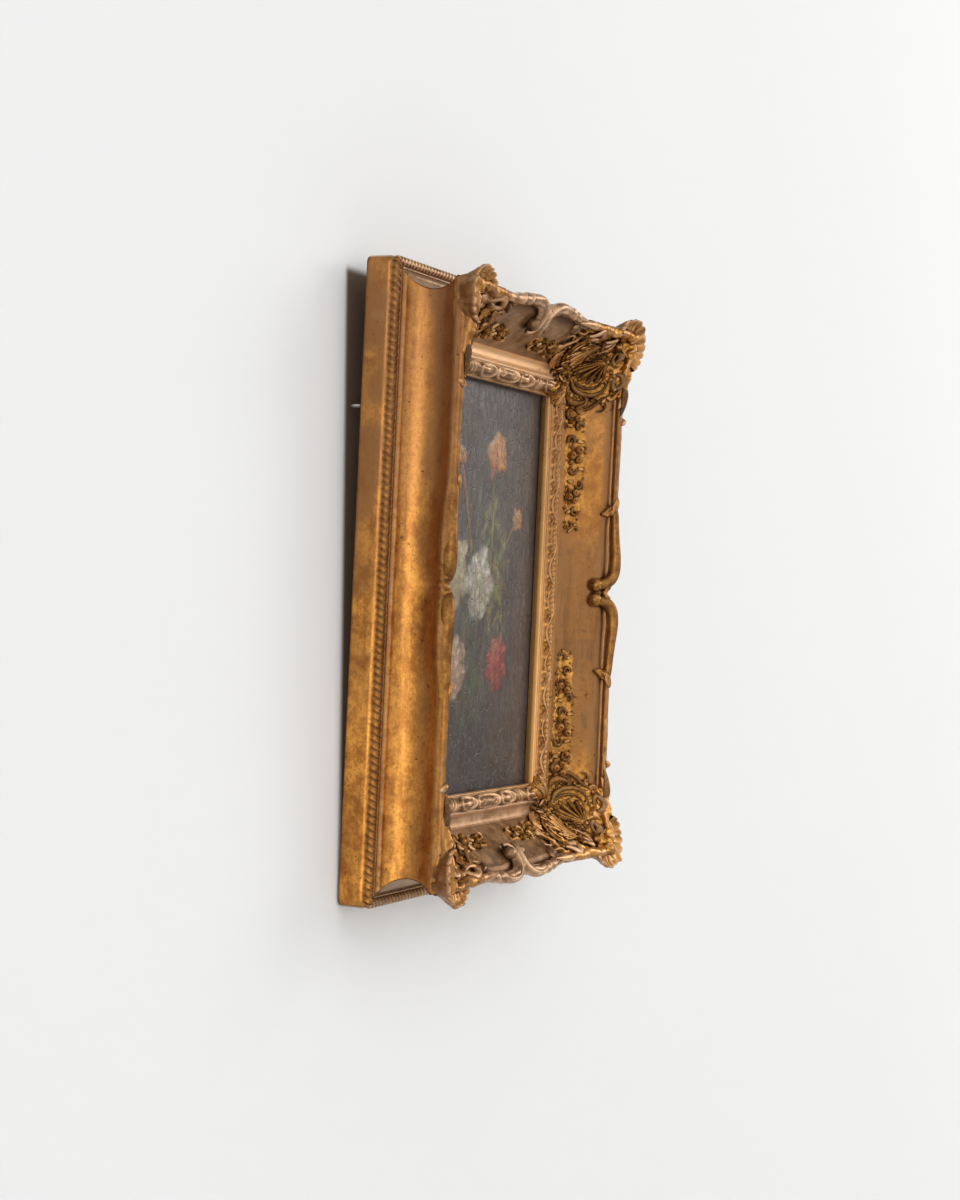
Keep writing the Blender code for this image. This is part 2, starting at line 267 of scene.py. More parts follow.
class Carver:
    """Models rods, knobs and leaves in one heap; where() takes their three flat coordinates to metres."""

    def __init__(self, heap, where, flip):
        self.heap, self.where, self.flip = heap, where, flip

    def tube(self, path, radius, sides=8, rub=0.0, stain=0.0):
        """A closed swept rod. The radius is one number, one a point, or one a point and side."""
        path = np.asarray(path, float)
        tangent = np.gradient(path, axis=0)
        tangent /= np.linalg.norm(tangent, axis=1, keepdims=True)
        ahead = np.array([0, 0, 1.0]) - tangent * tangent[:, 2:3]
        ahead /= np.maximum(np.linalg.norm(ahead, axis=1, keepdims=True), 1e-6)
        across = np.cross(tangent, ahead)
        angle = (np.arange(sides) * 2 * math.pi / sides)[None, :, None]
        r = np.asarray(radius, float)
        r = (r if r.ndim == 2 else np.broadcast_to(r, len(path))[:, None]) * np.ones(sides)
        swing = np.cos(angle) * ahead[:, None] + np.sin(angle) * across[:, None]
        points = path[:, None] + r[..., None] * swing
        self.heap.rod(self.where(*np.moveaxis(points, -1, 0)), self.flip, rub, stain)

    def ball(self, centre, radii, petals=0, rings=8, sides=12, rub=0.2):
        """A rounded knob, with optional petal ridges; radii are along the three flat coordinates."""
        radii = np.broadcast_to(np.asarray(radii, float), (3,))
        polar = np.linspace(0.12, math.pi - 0.12, rings)[:, None]
        angle = (np.arange(sides) * 2 * math.pi / sides)[None, :]
        swell = 1 + (0.12 * np.cos(petals * angle + 2.2 * polar) * np.sin(polar) if petals else 0)
        a = centre[0] + radii[0] * swell * np.sin(polar) * np.cos(angle)
        b = centre[1] + radii[1] * swell * np.sin(polar) * np.sin(angle)
        c = centre[2] + radii[2] * np.cos(polar) * np.ones_like(angle)
        self.heap.rod(self.where(a, b, c), self.flip, rub)

    def leaf(self, y, t, angle, length, width, bend=0.0, rise=1.2, tip=0.8, base=0.3, rub=0.15):
        """A domed blade with a mid-rib, lying on the surface."""
        p, q = np.linspace(0, 1, 12)[:, None], np.linspace(-1, 1, 9)[None, :]
        heading = angle + bend * p

        def travel(pace):
            steps = (pace[1:] + pace[:-1]) / 2 * np.diff(p, axis=0)
            return np.vstack([[[0]], np.cumsum(steps, axis=0)])

        cy, ct = y + travel(np.cos(heading) * length), t + travel(np.sin(heading) * length)
        half = width / 2 * (0.12 + np.sin(np.pi * np.clip(p, 0, 0.985) ** 0.75) ** 0.8)
        h = base + rise * np.sin(np.pi * p ** 0.9) * 0.6 + tip * p ** 3 + (1 - q ** 2) * rise * 0.55
        folds = 0.25 * np.abs(np.sin(2 * np.pi * q)) * (q ** 2 < 0.98)
        h = h - rise * (0.5 * bump(q, 0.22) * (1 - p) + folds)
        h = np.where(np.abs(q) > 0.99, -0.3 + 0 * p, h)
        points = self.where(cy - np.sin(heading) * q * half, ct + np.cos(heading) * q * half, h)
        self.heap.grid(points, flip=self.flip, rub=rub)

    def scroll(self, y, t, start, turns, radius, thick, h=1.2, rub=0.2):
        """A little spiral rod lying on the surface."""
        k = np.linspace(0, 1, int(16 * abs(turns)) + 6)
        a = start + turns * 2 * math.pi * k
        r = radius * (1 - 0.75 * k)
        path = np.stack([y + r * np.cos(a), t + r * np.sin(a), h + 0.6 * k], 1)
        self.tube(path, thick * (1 - 0.25 * k), rub=rub)


# ---------------- rails
CELL_PERIOD = 45.15
ROPE_PITCH = 4.5
LEAF_WIDTH = 12.0
BASE_ROUNDING = 5.0
RAIL_SEED = {"left": 3, "right": 5, "top": 7, "bottom": 11}


def ring_line(x, w, cx, cw, rx, rw, power=2.0):
    """A raised line round an ellipse, or a rounded box at a higher power, and the shape's own measure."""
    e = (np.abs((x - cx) / rx) ** power + np.abs((w - cw) / rw) ** power) ** (1 / power)
    return bump((e - 1) * min(rx, rw), 0.8), e


def level_carving(s, w):
    """Cartouche, C-curl, ribs and lobe, mirrored from the middle of the top and bottom sight mouldings."""
    x = np.abs(s)
    box, in_box = ring_line(x, w, 0, 5.8, 16.5, 4.7, 3.0)
    curl, in_curl = ring_line(x, w, 31.5, 6.2, 11.0, 4.9)
    lobe, in_lobe = ring_line(x, w, 75.0, 5.6, 10.5, 4.8)
    knob = ring_line(x, w, 9.0, 5.6, 4.0, 2.2)[0]
    ribs = bump(x - 53.5, 7.0) * np.abs(np.cos((x - 53.5 + 0.5 * (w - 5)) * np.pi / 4.4))
    links = 0.8 * bump(w - 9.8 + 0.6 * np.abs(x - 22), 0.9)
    body = np.maximum(1.2 * step(0.8, 0.1, in_curl), 1.1 * step(0.8, 0.1, in_lobe))
    body = body + 0.5 * step(0.9, 0.6, in_box)
    return np.maximum.reduce([1.35 * box, 1.35 * curl, 1.25 * lobe, knob, 1.25 * ribs, links, body])


def upright_carving(s, w):
    """Long lens-shaped cells between two crossing ribbons, with a leaf in each, along the side mouldings."""
    phase = 2 * np.pi * s / CELL_PERIOD
    a, b = 5.9 + 3.3 * np.sin(phase), 5.9 - 3.3 * np.sin(phase)
    ribbons = np.maximum(bump(w - a, 1.0), 0.85 * bump(w - b, 0.85))
    inside = step(0.6, 1.6, np.minimum(w - np.minimum(a, b), np.maximum(a, b) - w))
    barbs = np.abs(np.cos(s * 0.85 + 0.55 * np.abs(w - 5.9)))
    vein = bump(w - 5.9, 0.6) + 0.8 * barbs * bump(w - 5.9, 2.0)
    outer_leaf = (1 - inside) * np.abs(np.sin(phase * 4 + w * 0.8)) * bump(np.abs(w - 5.9) - 3.6, 1.2)
    borders = 1.35 * (bump(w - 0.9, 0.6) + bump(w - 11.0, 0.6))
    return np.maximum(np.maximum(1.5 * ribbons, borders), inside * (0.1 + 0.9 * vein) + 0.9 * outer_leaf)


def leaf_relief(s, v, upright):
    """Height of the sight moulding's carving; v runs from 0 at its outer side to 1 at the lip."""
    w = v * LEAF_WIDTH
    height = upright_carving(s - 4, w) if upright else level_carving(s, w)
    return (height - 0.7) * (1.25 if upright else 1.2) * step(0.0, 0.06, v) * step(1.0, 0.95, v)


def make_rail(side, columns, material):
    half, seed, upright = HALF[side], RAIL_SEED[side], side in UPRIGHTS
    v = np.linspace(-1, 1, columns)
    grid, zones = profile(*crest(np.abs(v) * (half - 12), half))
    s = v[:, None] * (half - grid[..., 0] - MITRE_GAP)
    k = np.arange(grid.shape[1])[None, :] * 1.0
    side_zone, rope, fillet, cove, bead, _, field, flat, leaf, lip, back = zones.values()

    def grain(part, scale, number, over=1.0, along=1.0):
        """Noise over some of the section's points."""
        return noise(s[:, part] * along, over * k[:, part], scale, seed + number)

    def fraction(part):
        return np.linspace(0, 1, part.stop - part.start)[None, :]

    strand = np.abs(np.sin(np.pi * (s[:, rope] / ROPE_PITCH + 0.30 * ROPE_TURN)))
    lift = np.zeros(grid.shape[:2])
    on_rope = step(-0.75, -0.35, ROPE_TURN) * step(2.75, 2.35, ROPE_TURN)
    lift[:, rope] = (1.25 * strand ** 0.55 - 1.05) * on_rope
    lift[:, cove] = 0.16 * grain(cove, 26, 0, 3) + 0.06 * grain(cove, 7, 1, 2)
    lift[:, bead] = 0.30 * grain(bead, 11, 2) + 0.16 * grain(bead, 4, 6)
    lift[:, field] = 0.1 * grain(field, 14, 3, 2)
    lift[:, leaf] = leaf_relief(s[:, leaf], fraction(leaf), upright)
    grid = grid + ring_normals(grid) * lift[..., None]

    # rounded outer corners of the base
    u, along = grid[..., 0], half - np.abs(s)
    a, b = np.clip(BASE_ROUNDING - u, 0, None), np.clip(BASE_ROUNDING - along, 0, None)
    inside = (a > 0) & (b > 0)
    factor = np.maximum(a, b) / np.maximum(np.hypot(a, b), 1e-9)
    u = np.where(inside, BASE_ROUNDING - a * factor, u)
    along = np.where(inside, BASE_ROUNDING - b * factor, along)
    s = np.sign(v)[:, None] * (half - along)

    high = step(-150, 120, s) if upright else 0.5 + 0 * s
    carved = lift[:, leaf]
    rub, stain = np.zeros(lift.shape), np.zeros(lift.shape)
    patches = 0.5 + 0.5 * grain(side_zone, 17, 9, 4) + 0.3 * (high[:, side_zone] - 0.5)
    stain[:, side_zone] = (0.75 * high[:, side_zone] + 0.1) * step(0.25, 0.75, patches)
    rub[:, rope] = 0.55 * step(0.75, 0.98, strand) * step(0.2, 1.2, ROPE_TURN)
    # darker in the gaps between the rope's strands: dirt and painted shade
    stain[:, rope] = 0.60 - 0.45 * strand
    rub[:, fillet] = np.array([0, 0.9, 0.9, 0, 0, 0.2, 0.7]) * (0.5 + 0.5 * grain(fillet, 2.5, 10, 0))
    # the fillet: dark in the crease by the rope (painted shade), middling on its flat
    stain[:, fillet] = [0.9, 0, 0, 0.4, 0.4, 0.55, 0]
    # painted shade over the cove's inner part, heavier towards the top of the side rails, standing for the
    # shadowed wall it reflects
    cloud = 0.5 + 0.5 * grain(cove, 9, 8, 3, 0.35)
    shade = step(0.42, 0.66, fraction(cove) + 0.22 * (cloud - 0.5))
    stain[:, cove] = shade * (0.60 + 0.35 * high[:, cove]) * (0.7 + 0.3 * cloud)
    rub[:, bead] = {"left": 0.1, "right": 0.8}.get(side, 0.7) + 0.3 * grain(bead, 9, 4)
    rub[:, bead.stop - 4:bead.stop + 3] = 0
    if side == "left":
        stain[:, bead] = 0.32 + 0.3 * grain(bead, 14, 15)
        # a bare scuff near the top of the outer face
        rub[:, side_zone] = 0.9 * bump(s[:, side_zone] - 163, 2.4) * bump(k[:, side_zone] - 5, 1.7)
    blotch = grain(field, 9, 12, 2, 0.6) + 0.6 * grain(field, 3.5, 13, 3)
    stain[:, field] = 0.25 * step(0.5, 1.0, fraction(field)) + 0.55 * np.clip(blotch, 0, 1)
    # painted shade: a dark line along the inner foot of the crest and its groove
    stain[:, bead.stop - 3:bead.stop + 3] = 1.0
    # painted shade over the lower middle of the right rail's field
    if side == "right":
        stain[:, field] += 0.85 * step(70, 10, s[:, field]) * step(-140, -100, s[:, field])
    # the step: painted highlight on the top and bottom rails, darker on the side rails
    stain[:, flat] = {"top": -0.75, "bottom": -0.3}.get(side, 0.60)
    if not upright:
        rub[:, flat] = 0.65 + 0.3 * grain(flat, 7, 14)
    rub[:, leaf] = step(-0.05, 0.6, carved) * (0.75 + 0.25 * grain(leaf, 9, 0, 2))
    # the carving: darker in its low parts (dirt and painted shade), with a painted highlight on its raised
    # parts except on the left rail
    stain[:, leaf] = np.clip(0.25 - 0.8 * carved, 0, 0.8) * (1.0 if upright else 0.35)
    if side != "left":
        stain[:, leaf] -= (0.75 if upright else 0.45) * step(0.1, 0.7, carved)
    # painted reflection: the sight lip in bright gold, strongest on the right rail
    stain[:, lip.start - 2:lip.stop] = -1.0 if side == "right" else -0.4
    rub[:, back] = -1
    heap = Heap()
    heap.rod(place(side, s, u, grid[..., 1]), side not in ("left", "bottom"), rub, stain, sunk_ends=False)
    return heap.mesh("gilt_rail_" + side, material)


SCROLL_BACK = [(68, 15, 58.6, 1.8), (62, 14.9, 59.2, 2.6), (55, 14.2, 59.6, 3.2), (46, 13.2, 59.9, 3.2),
               (36, 12.2, 60.3, 3.5), (28, 11.5, 60.6, 3.9), (20.5, 11.3, 60.6, 4.2), (14, 12.2, 60.0, 4.4)]
UPRIGHT_HOOK = [(9.4, 14.4, 58.6, 4.3), (7, 17.6, 56.6, 4), (5.9, 21, 54, 3.7), (5.5, 24, 51.9, 3.4)]
LEVEL_HOOK = [(8.8, 14.6, 58.4, 4.3), (5.4, 18.0, 56.4, 4.0), (4.4, 22.2, 53.6, 3.7), (4.9, 26.6, 50.2, 3.3),
              (7.6, 29.6, 47.8, 2.6), (11, 29.4, 47.2, 1.7)]


def scroll_pair(heap, side):
    """The two C-scrolls at a rail's middle: rods that end in balls, hollowed like ribbons on level rails."""
    upright, half, sides = side in UPRIGHTS, HALF[side], 20
    line = smooth_line(SCROLL_BACK + (UPRIGHT_HOOK if upright else LEVEL_HOOK), 104)
    length = run_length(line[:, :3])[:, None]
    angle = (np.arange(sides) * 2 * math.pi / sides)[None, :]
    facing = np.mod(angle - 0.26 * np.pi + np.pi, 2 * np.pi) - np.pi
    ridge = np.mod(length / 11 + angle / (2 * np.pi) + 0.1, 1.0)
    ribbon = bump(np.minimum(ridge, 1 - ridge), 0.13) * step(14, 20, length) * step(40, 32, length)
    ribbon = ribbon * step(-2.4, -1.6, facing)
    hollow = step(30, 46, length) * bump(facing, 0.62)
    edges = step(30, 46, length) * bump(np.abs(facing) - 1.05, 0.25)
    swell = 1 + 0.26 * ribbon - 0.46 * hollow + 0.10 * edges
    for end in (-1, 1):
        carver = Carver(heap, lambda s, u, d: place(side, end * s, u, d), not turned(side, end))
        if upright:
            carver.tube(line[:, :3], line[:, 3:4] * np.ones(sides), sides, 0.0, 0.1)
            carver.ball((5.4, 24.6, 51.6), 4.9, rings=14, sides=22, rub=0.0)
        else:
            # darker in the ribbon's hollow, with a painted highlight along its edges
            carver.tube(line[:, :3], line[:, 3:4] * swell, sides, 0.15 + 0.5 * ribbon + 0.8 * edges,
                        0.75 * hollow - 0.4 * edges)
            carver.ball((7.4, 24.6, 51.4), 4.6, rings=14, sides=22, rub=0.0)
        # the thorn leaf at the outer end of the scroll, with a small one behind it
        carver = Carver(heap, lambda y, t, h: on_bed(side, end, y, t, h), turned(side, end))
        carver.leaf(half - 62, CREST_T + 3.5, 0.62, 12.5, 7, bend=0.9, rise=2.2, tip=1.6, base=0.4, rub=0.0)
        carver.leaf(half - 68, CREST_T + 1.0, 0.18, 13, 4.6, bend=0.25, rise=1.5, base=0.5, rub=0.3)


# The berries of a cluster: offsets along and down, and share of its size
BERRIES = ((-2.2, -1.4, 1.0), (0.6, 2.6, 0.95), (2.8, -1.0, 0.85), (-3.6, 2.4, 0.6), (4.4, 2.6, 0.6))


def sprig(heap, side, end):
    """The spray of curls, leaves and berries on a pebbled ground that runs along the field from a corner."""
    rng = np.random.default_rng(29)
    carver = Carver(heap, lambda y, t, h: on_bed(side, end, y, t, h), turned(side, end))
    if side in UPRIGHTS:
        start, reach, breadth, up, scale, steps = 58, 100, 8.8, 9.0, 1.0, 10
        clusters = ((0.15, 2.9), (0.44, 3.2), (0.74, 2.6))
    else:
        start, reach, breadth, up, scale, steps = 84, 46, 7.2, 12.0, 0.95, 6
        clusters = ((0.25, 2.7), (0.7, 2.2))
    middle = bed_t(41.4) - up

    k, q = np.meshgrid(np.linspace(0, 1, 112), np.linspace(-1, 1, 22), indexing="ij")
    waves = 1 + 0.10 * np.sin(k * reach * 0.62) + 0.06 * np.sin(k * reach * 1.9 + q)
    along, down = start + reach * k, middle + breadth * (1 - 0.42 * k ** 1.5) * waves * q
    pebbles = 0.55 + 0.45 * noise(along, down, 1.7, 33) + 0.25 * noise(along, down, 0.9, 34)
    inside = step(1.0, 0.86, np.abs(q)) * step(0, 0.02, k) * step(1, 0.97, k)
    heap.grid(carver.where(along, down, -0.3 + (0.30 + 0.8 * pebbles) * inside), flip=carver.flip)

    def spot(f):
        return start + reach * f, middle + 1.2 * math.sin(9 * f)

    def bud(y, t, r, h=0.8):
        rings, sides = (8, 12) if r > 1.5 else (6, 8)
        carver.ball((y, t, h * r + 0.4), r, rings=rings, sides=sides, rub=0.0)

    def curl(y, t, start_angle, turn, r, thick):
        """A C-curl whose thick back thins to a tip that rolls in on a bud."""
        p = np.linspace(0, 1, 22)
        a, fall = start_angle + turn * p, r * (1 - 0.55 * p ** 1.6)
        body = thick * (0.55 + 0.6 * np.sin(np.pi * np.linspace(0.08, 0.95, 22)))
        path = np.stack([y + fall * np.cos(a), t + 0.85 * fall * np.sin(a), 1.3 + 0.7 * p], 1)
        carver.tube(path, body, rub=0.30)

    for n in range(steps):
        f = (n + 0.5) / steps
        (y, t), taper, way = spot(f), (1 - 0.35 * f) * scale, 1 if n % 2 else -1
        start_angle, turn = rng.uniform(0, 6.28), way * rng.uniform(4.0, 5.0)
        curl(y, t + way * 3.6 * taper, start_angle, turn, 4.5 * taper, 1.45 * taper)
        if rng.uniform() < 0.6:
            bud(y, t + way * 3.8 * taper, 1.3 * taper)
        lean = -way * rng.uniform(0.5, 1.3)
        carver.leaf(y - 1.5, t - way * 0.6, lean, 7.0 * taper, 3.6 * taper, -0.7 * way, 1.7, 1.2, 0.7)
        for edge in (-1, -1, 1, 1):
            along = y + rng.uniform(-4.5, 4.5)
            over = edge * breadth * (1 - 0.42 * f) * rng.uniform(0.78, 0.98)
            bud(along, t + over, rng.uniform(0.8, 1.2), 0.6)
    for f, r in clusters:
        y, t = spot(f)
        for dy, dt, grow in BERRIES:
            bud(y + dy * r / 2.3, t + dt * r / 2.3, r * grow, 0.9)
    carver.leaf(start + reach * 0.97 - 4, middle, 0.15, 8 * scale, 3.6 * scale, 0.5, 1.6, 1.0, 0.5, 0.2)


# ---------------- corners
FAN_INSET, FAN_DEPTH, FAN_TOP = 23.0, 59.5, 73.4
SHELL_U, SHELL_Y = 22.8, 35.0
# The rounded tips of the shell's ribs, as inset, distance along and radius
SHELL_RIM = ((24.2, 46.0, 1.75), (27.4, 49.8, 2.3), (31.8, 50.9, 2.5), (35.8, 48.8, 2.6), (38.4, 44.6, 2.5),
             (39.2, 40.4, 2.3), (35.8, 36.6, 2.0), (31.5, 32.2, 1.6))
# Rods through (inset, along, height, radius) knots, each with its count of points, sides and rub
SHELL_BAND = ([(39.6, 49.0, 2.6, 0.9), (38.8, 54.4, 3.2, 1.3), (34.6, 58.8, 3.6, 1.5), (29.2, 59.6, 3.6, 1.5),
               (24.8, 56.6, 3.4, 1.35), (22.6, 51.0, 3.0, 1.0), (23.4, 48.4, 2.6, 0.7)], 44, 10, 0.3)
STRANDS = (
    # the inner edge of the band, then the edge that runs down beside the mitre from the fan to the hinge
    ([(38.0, 49.6, 2.4, 0.6), (36.0, 53.0, 2.9, 0.8), (31.0, 55.0, 3.1, 0.85), (26.6, 53.2, 3.0, 0.8),
      (24.4, 49.6, 2.4, 0.6)], 32, 8, 0.25),
    ([(17.5, 24.0, 4.6, 1.0), (20.5, 24.8, 5.2, 1.15), (24.0, 27.6, 4.8, 1.0), (27.0, 31.4, 3.8, 0.8),
      (29.0, 33.6, 2.6, 0.5)], 26, 8, 0.5),
    # leaves and curls below the band
    ([(43.0, 55.0, 1.6, 0.8), (42.6, 60.0, 2.4, 1.5), (39.5, 64.8, 2.6, 2.1), (35.5, 66.0, 2.4, 2.1),
      (32.0, 63.6, 2.0, 1.3), (31.4, 61.6, 1.6, 0.7)], 34, 10, 0.15),
    ([(20.6, 58.6, 1.8, 0.6), (24.6, 61.8, 2.3, 1.2), (28.4, 67.2, 2.3, 1.5), (32.6, 70.4, 2.0, 1.2),
      (36.5, 70.0, 1.6, 0.8), (37.8, 67.6, 1.4, 0.5)], 34, 8, 0.2),
    ([(25.4, 62.4, 1.6, 0.6), (22.6, 66.0, 1.9, 1.0), (23.6, 69.8, 1.7, 0.8), (26.4, 70.4, 1.5, 0.4)],
     22, 8, 0.2),
    ([(44.6, 49.0, 1.8, 0.7), (47.0, 53.2, 2.4, 1.1), (50.5, 55.0, 2.4, 1.1), (52.6, 53.4, 2.0, 0.6)],
     20, 8, 0.3),
    # a long smooth leaf on the crest, running out from the loops
    ([(16.2, 50.5, 1.5, 0.9), (15.6, 57.5, 2.6, 1.9), (15.8, 66.0, 1.8, 1.6), (16.6, 73.5, 0.6, 0.7)],
     26, 10, 0.55),
) + tuple(
    ([(25.0 + 2.6 * n, 26.4 + 2.6 * n, 3.2, 0.5), (24.0 + 2.4 * n, 29.0 + 2.0 * n, 3.8, 0.9),
      (22.6 + 2.2 * n, 31.6 + 1.4 * n, 3.2, 0.5)], 12, 6, 0.25) for n in range(4))
# sigma, inset, height and radius
KNOBS = ((25.8, 20.4, 3.6, 2.7), (21.0, 20.6, 3.4, 1.6), (36.5, 20.0, 2.6, 1.6), (7.0, 28.8, 3.2, 1.9),
         (5.2, 41.8, 2.4, 2.3), (9.0, 44.5, 2.0, 1.7), (2.6, 47.5, 2.2, 1.7), (38, 26.5, 1.4, 1.5),
         (33.6, 28.4, 1.6, 1.7), (2.2, 26.0, 4.2, 1.8))
# sigma, inset, size along, size down, height and rod radius
LOOPS = ((13.5, 18.6, 4.4, 4.6, 5.6, 1.2), (31.0, 17.8, 6.0, 4.8, 4.4, 1.3))
# sigma, inset, heading, length, width and bend
EDGE_LEAVES = ((40, 15.5, 0.1, 11, 4.2, 0.35), (36, 22.5, 0.5, 7, 3.6, -0.5), (18, 38.0, 0.6, 7, 3.6, -0.6),
               (12, 43.4, 1.0, 6.5, 3.6, 0.5), (7, 47, 0.9, 7, 3.8, 0.7), (5, 52, 0.4, 9, 4.4, 0.5),
               (1.0, 54, 0.9, 9.5, 5.0, 0.35), (2, 57.5, 0.5, 8.5, 4.0, 0.3))
# sigma, inset, start angle, turns and height; then the ones that take the band's place on the level half
CURLS = ((12.5, 46.5, 1.0, -1.2, 1.8), (40, 19.5, 3.0, 1.2, 1.8), (4.5, 36.0, 2.0, -1.3, 3.0))
LEVEL_CURLS = ((17.5, 26.5, 0.4, 1.2), (20.5, 32.5, 2.6, -1.2), (15.5, 37.5, 4.2, 1.1), (11, 42, 1, -1.1))


def corner_outline(u):
    """How far the cartouche runs from the mitre, by inset."""
    inset = [10, 14, 20, 26, 30, 35, 39, 44, 50, 54, 58, 61, 63.4]
    return ease(inset, [50, 48, 42, 37, 33, 27, 23, 12, 7, 8, 12, 10, 5], u) + 1.1 * np.sin(u * 1.3)


def corner_relief(u, t, sigma):
    """Height of the ground that the cartouche's shell, bands and leaves lie on."""
    y, down = sigma - (SHELL_Y - SHELL_U), t - bed_t(SHELL_U)
    dish = step(24, 6, np.hypot(down, y)) * 0.54 * np.cos(np.arctan2(down, y) * 9)
    across = np.clip(sigma / ease([34, 42, 50, 57, 63.4], [4, 6, 4.5, 7, 4], u), 0, 1)
    barbs = np.abs(np.sin((u - 0.9 * sigma) * 0.8))
    spine = step(34, 38, u) * (1 - across ** 2) * (2.0 + 0.8 * bump(sigma, 0.8) - 0.9 * barbs)
    inner = step(19, 26, u)
    fronds = 0.8 + 1.1 * inner * np.abs(np.sin(0.75 * (t + 0.9 * sigma)) * np.cos(0.66 * (sigma - 0.5 * t)))
    lumps = (1 - inner) * (0.9 + 1.5 * noise(sigma, 1.3 * t, 5.2, 91) + 0.6 * noise(sigma, t, 1.9, 92))
    smooth = 0.25 + 0.75 * step(CREST_T - 4, CREST_T + 2, t)
    return np.maximum((fronds + lumps - dish) * smooth, spine)


def crest_mass(u, t, sigma):
    """How far the crest is built forwards beside the mitre, where the cartouche's outer edge sweeps up."""
    swept = ease([0, 12, 24, 38, 50, 54], [8.5, 6.8, 4.8, 3.0, 1.2, 0.3], sigma)
    return swept * step(2.0, CREST_T - 1.0, t) * step(24, 17.5, u)


def corner_sheet(heap, halves, flip, seed):
    """Low relief over the fold, in one sheet."""
    t, v = np.meshgrid(np.linspace(1.0, BED_END - 0.3, 92), np.linspace(-1, 1, 149), indexing="ij")
    u = bed(t)[0]
    outline = np.clip(corner_outline(u), 2, None)
    sigma = np.abs(v) * outline
    outer = step(CREST_T + 1, CREST_T - 3, t)
    wear = (0.25 * noise(t, v * 40, 3.5, seed) + 0.14 * noise(t, v * 60, 1.6, seed + 1)) * (1 - 0.7 * outer)
    edge = step(0, 1.6, outline - sigma) * step(0, 5, t - 1.0) * step(0, 1.5, BED_END - 0.3 - t)
    height = (corner_relief(u, t, sigma) + wear) * edge - 0.5 * (1 - edge)
    lift = crest_mass(u, t, sigma) * edge
    grid = np.empty(t.shape + (3,))
    for (side, end, stretch), part in zip(halves, (v <= 0, v > 0)):
        grid[part] = on_corner(side, end, sigma[part] * stretch, t[part], height[part], lift[part])
    rub = np.clip((height - 1.6) / 4, 0, 0.3) * (1 - 0.6 * outer)
    heap.grid(grid, flip=flip, rub=rub, stain=0.9 * outer)


def corner_fan(heap, side_x, side_z, seed):
    """The ruffled fan over the mitre, with a solid wall down to the hollow behind it."""
    def plan(a, b, d):
        return np.stack([side_x * (WIDTH / 2 - a), -d, side_z * (HEIGHT / 2 - b) + MIDDLE_Z], -1) * MM

    carver = Carver(heap, plan, side_x * side_z > 0)
    phi = np.linspace(-2.0, 2.0, 160)[:, None]
    rho = np.concatenate([np.linspace(0.08, 1, 26), np.full(11, 1.0)])[None, :]
    wall = np.concatenate([np.zeros(26), np.linspace(0.06, 1, 11)])[None, :]
    front, away = wall == 0, np.abs(phi)
    folds = 8.2 * phi * (1 + 0.05 * away) + 0.35 * rho
    flute = np.abs(np.cos(folds)) * (1 - 0.9 * step(0, 0.4, wall))
    keen = (1 - np.abs(np.cos(folds + 0.5))) ** 1.4 * front * step(0.15, 0.5, rho)
    reach = ease([0, 0.4, 0.785, 1.2, 1.6, 2], [20.4, 19, 17.6, 17.6, 18.4, 18.6], away) + flute - 0.5
    low = np.minimum(10.4 / np.clip(np.sin(np.pi / 4 + away), 0.3, 1), reach - 1.2)
    rim_depth = FAN_TOP - 1.9 * away + 0.5 * flute
    depth = FAN_DEPTH + (rim_depth - FAN_DEPTH) * rho ** 0.8
    depth = depth + 1.15 * (flute ** 0.8 - 0.55) * np.sin(np.pi * rho * 0.55)
    depth = depth - 1.0 * bump(rho - 0.8, 0.12) * (1 - wall) + 0.5 * bump(rho - 1.0, 0.08) * front
    depth = depth - (rim_depth - 55.0) * wall ** 1.1 + 0.9 * keen
    depth = depth + 0.35 * noise(phi * 12, rho * 6, 2.0, seed + 8) * rho * (wall < 0.3)
    lumps = noise(phi * 9, wall * 14, 3.6, seed + 5) * 0.5 + noise(phi * 9, wall * 14, 1.3, seed + 6) * 0.25
    radius = rho * reach - (reach - low) * step(0.1, 1.0, wall)
    radius = radius + 0.9 * np.sin(np.clip(wall * 5, 0, 1) * np.pi)
    radius = radius + lumps * np.sin(np.pi * wall) + 0.9 * noise(phi * 12, rho * 2, 2.4, seed + 7) * rho
    across, up = np.cos(np.pi / 4 + phi), np.sin(np.pi / 4 + phi)
    points = plan(FAN_INSET - radius * across, FAN_INSET - radius * up, depth)
    rub = 0.5 * np.maximum(keen, step(0.9, 1, rho)) * (1 - step(0.0, 0.2, wall)) + 0.10 * front
    # darker towards the rim and on the wall, with a painted highlight along the sharp ridges
    stain = 0.35 * step(0.3, 0.9, rho) - 0.5 * keen + 0.85 * step(0.0, 0.12, wall)
    heap.grid(points, flip=carver.flip, rub=rub, stain=stain)
    centre = (FAN_INSET + 1, FAN_INSET + 1, FAN_DEPTH + 1.2)
    carver.ball(centre, (3.4, 3.4, 3.0), petals=5, rings=10, sides=20)


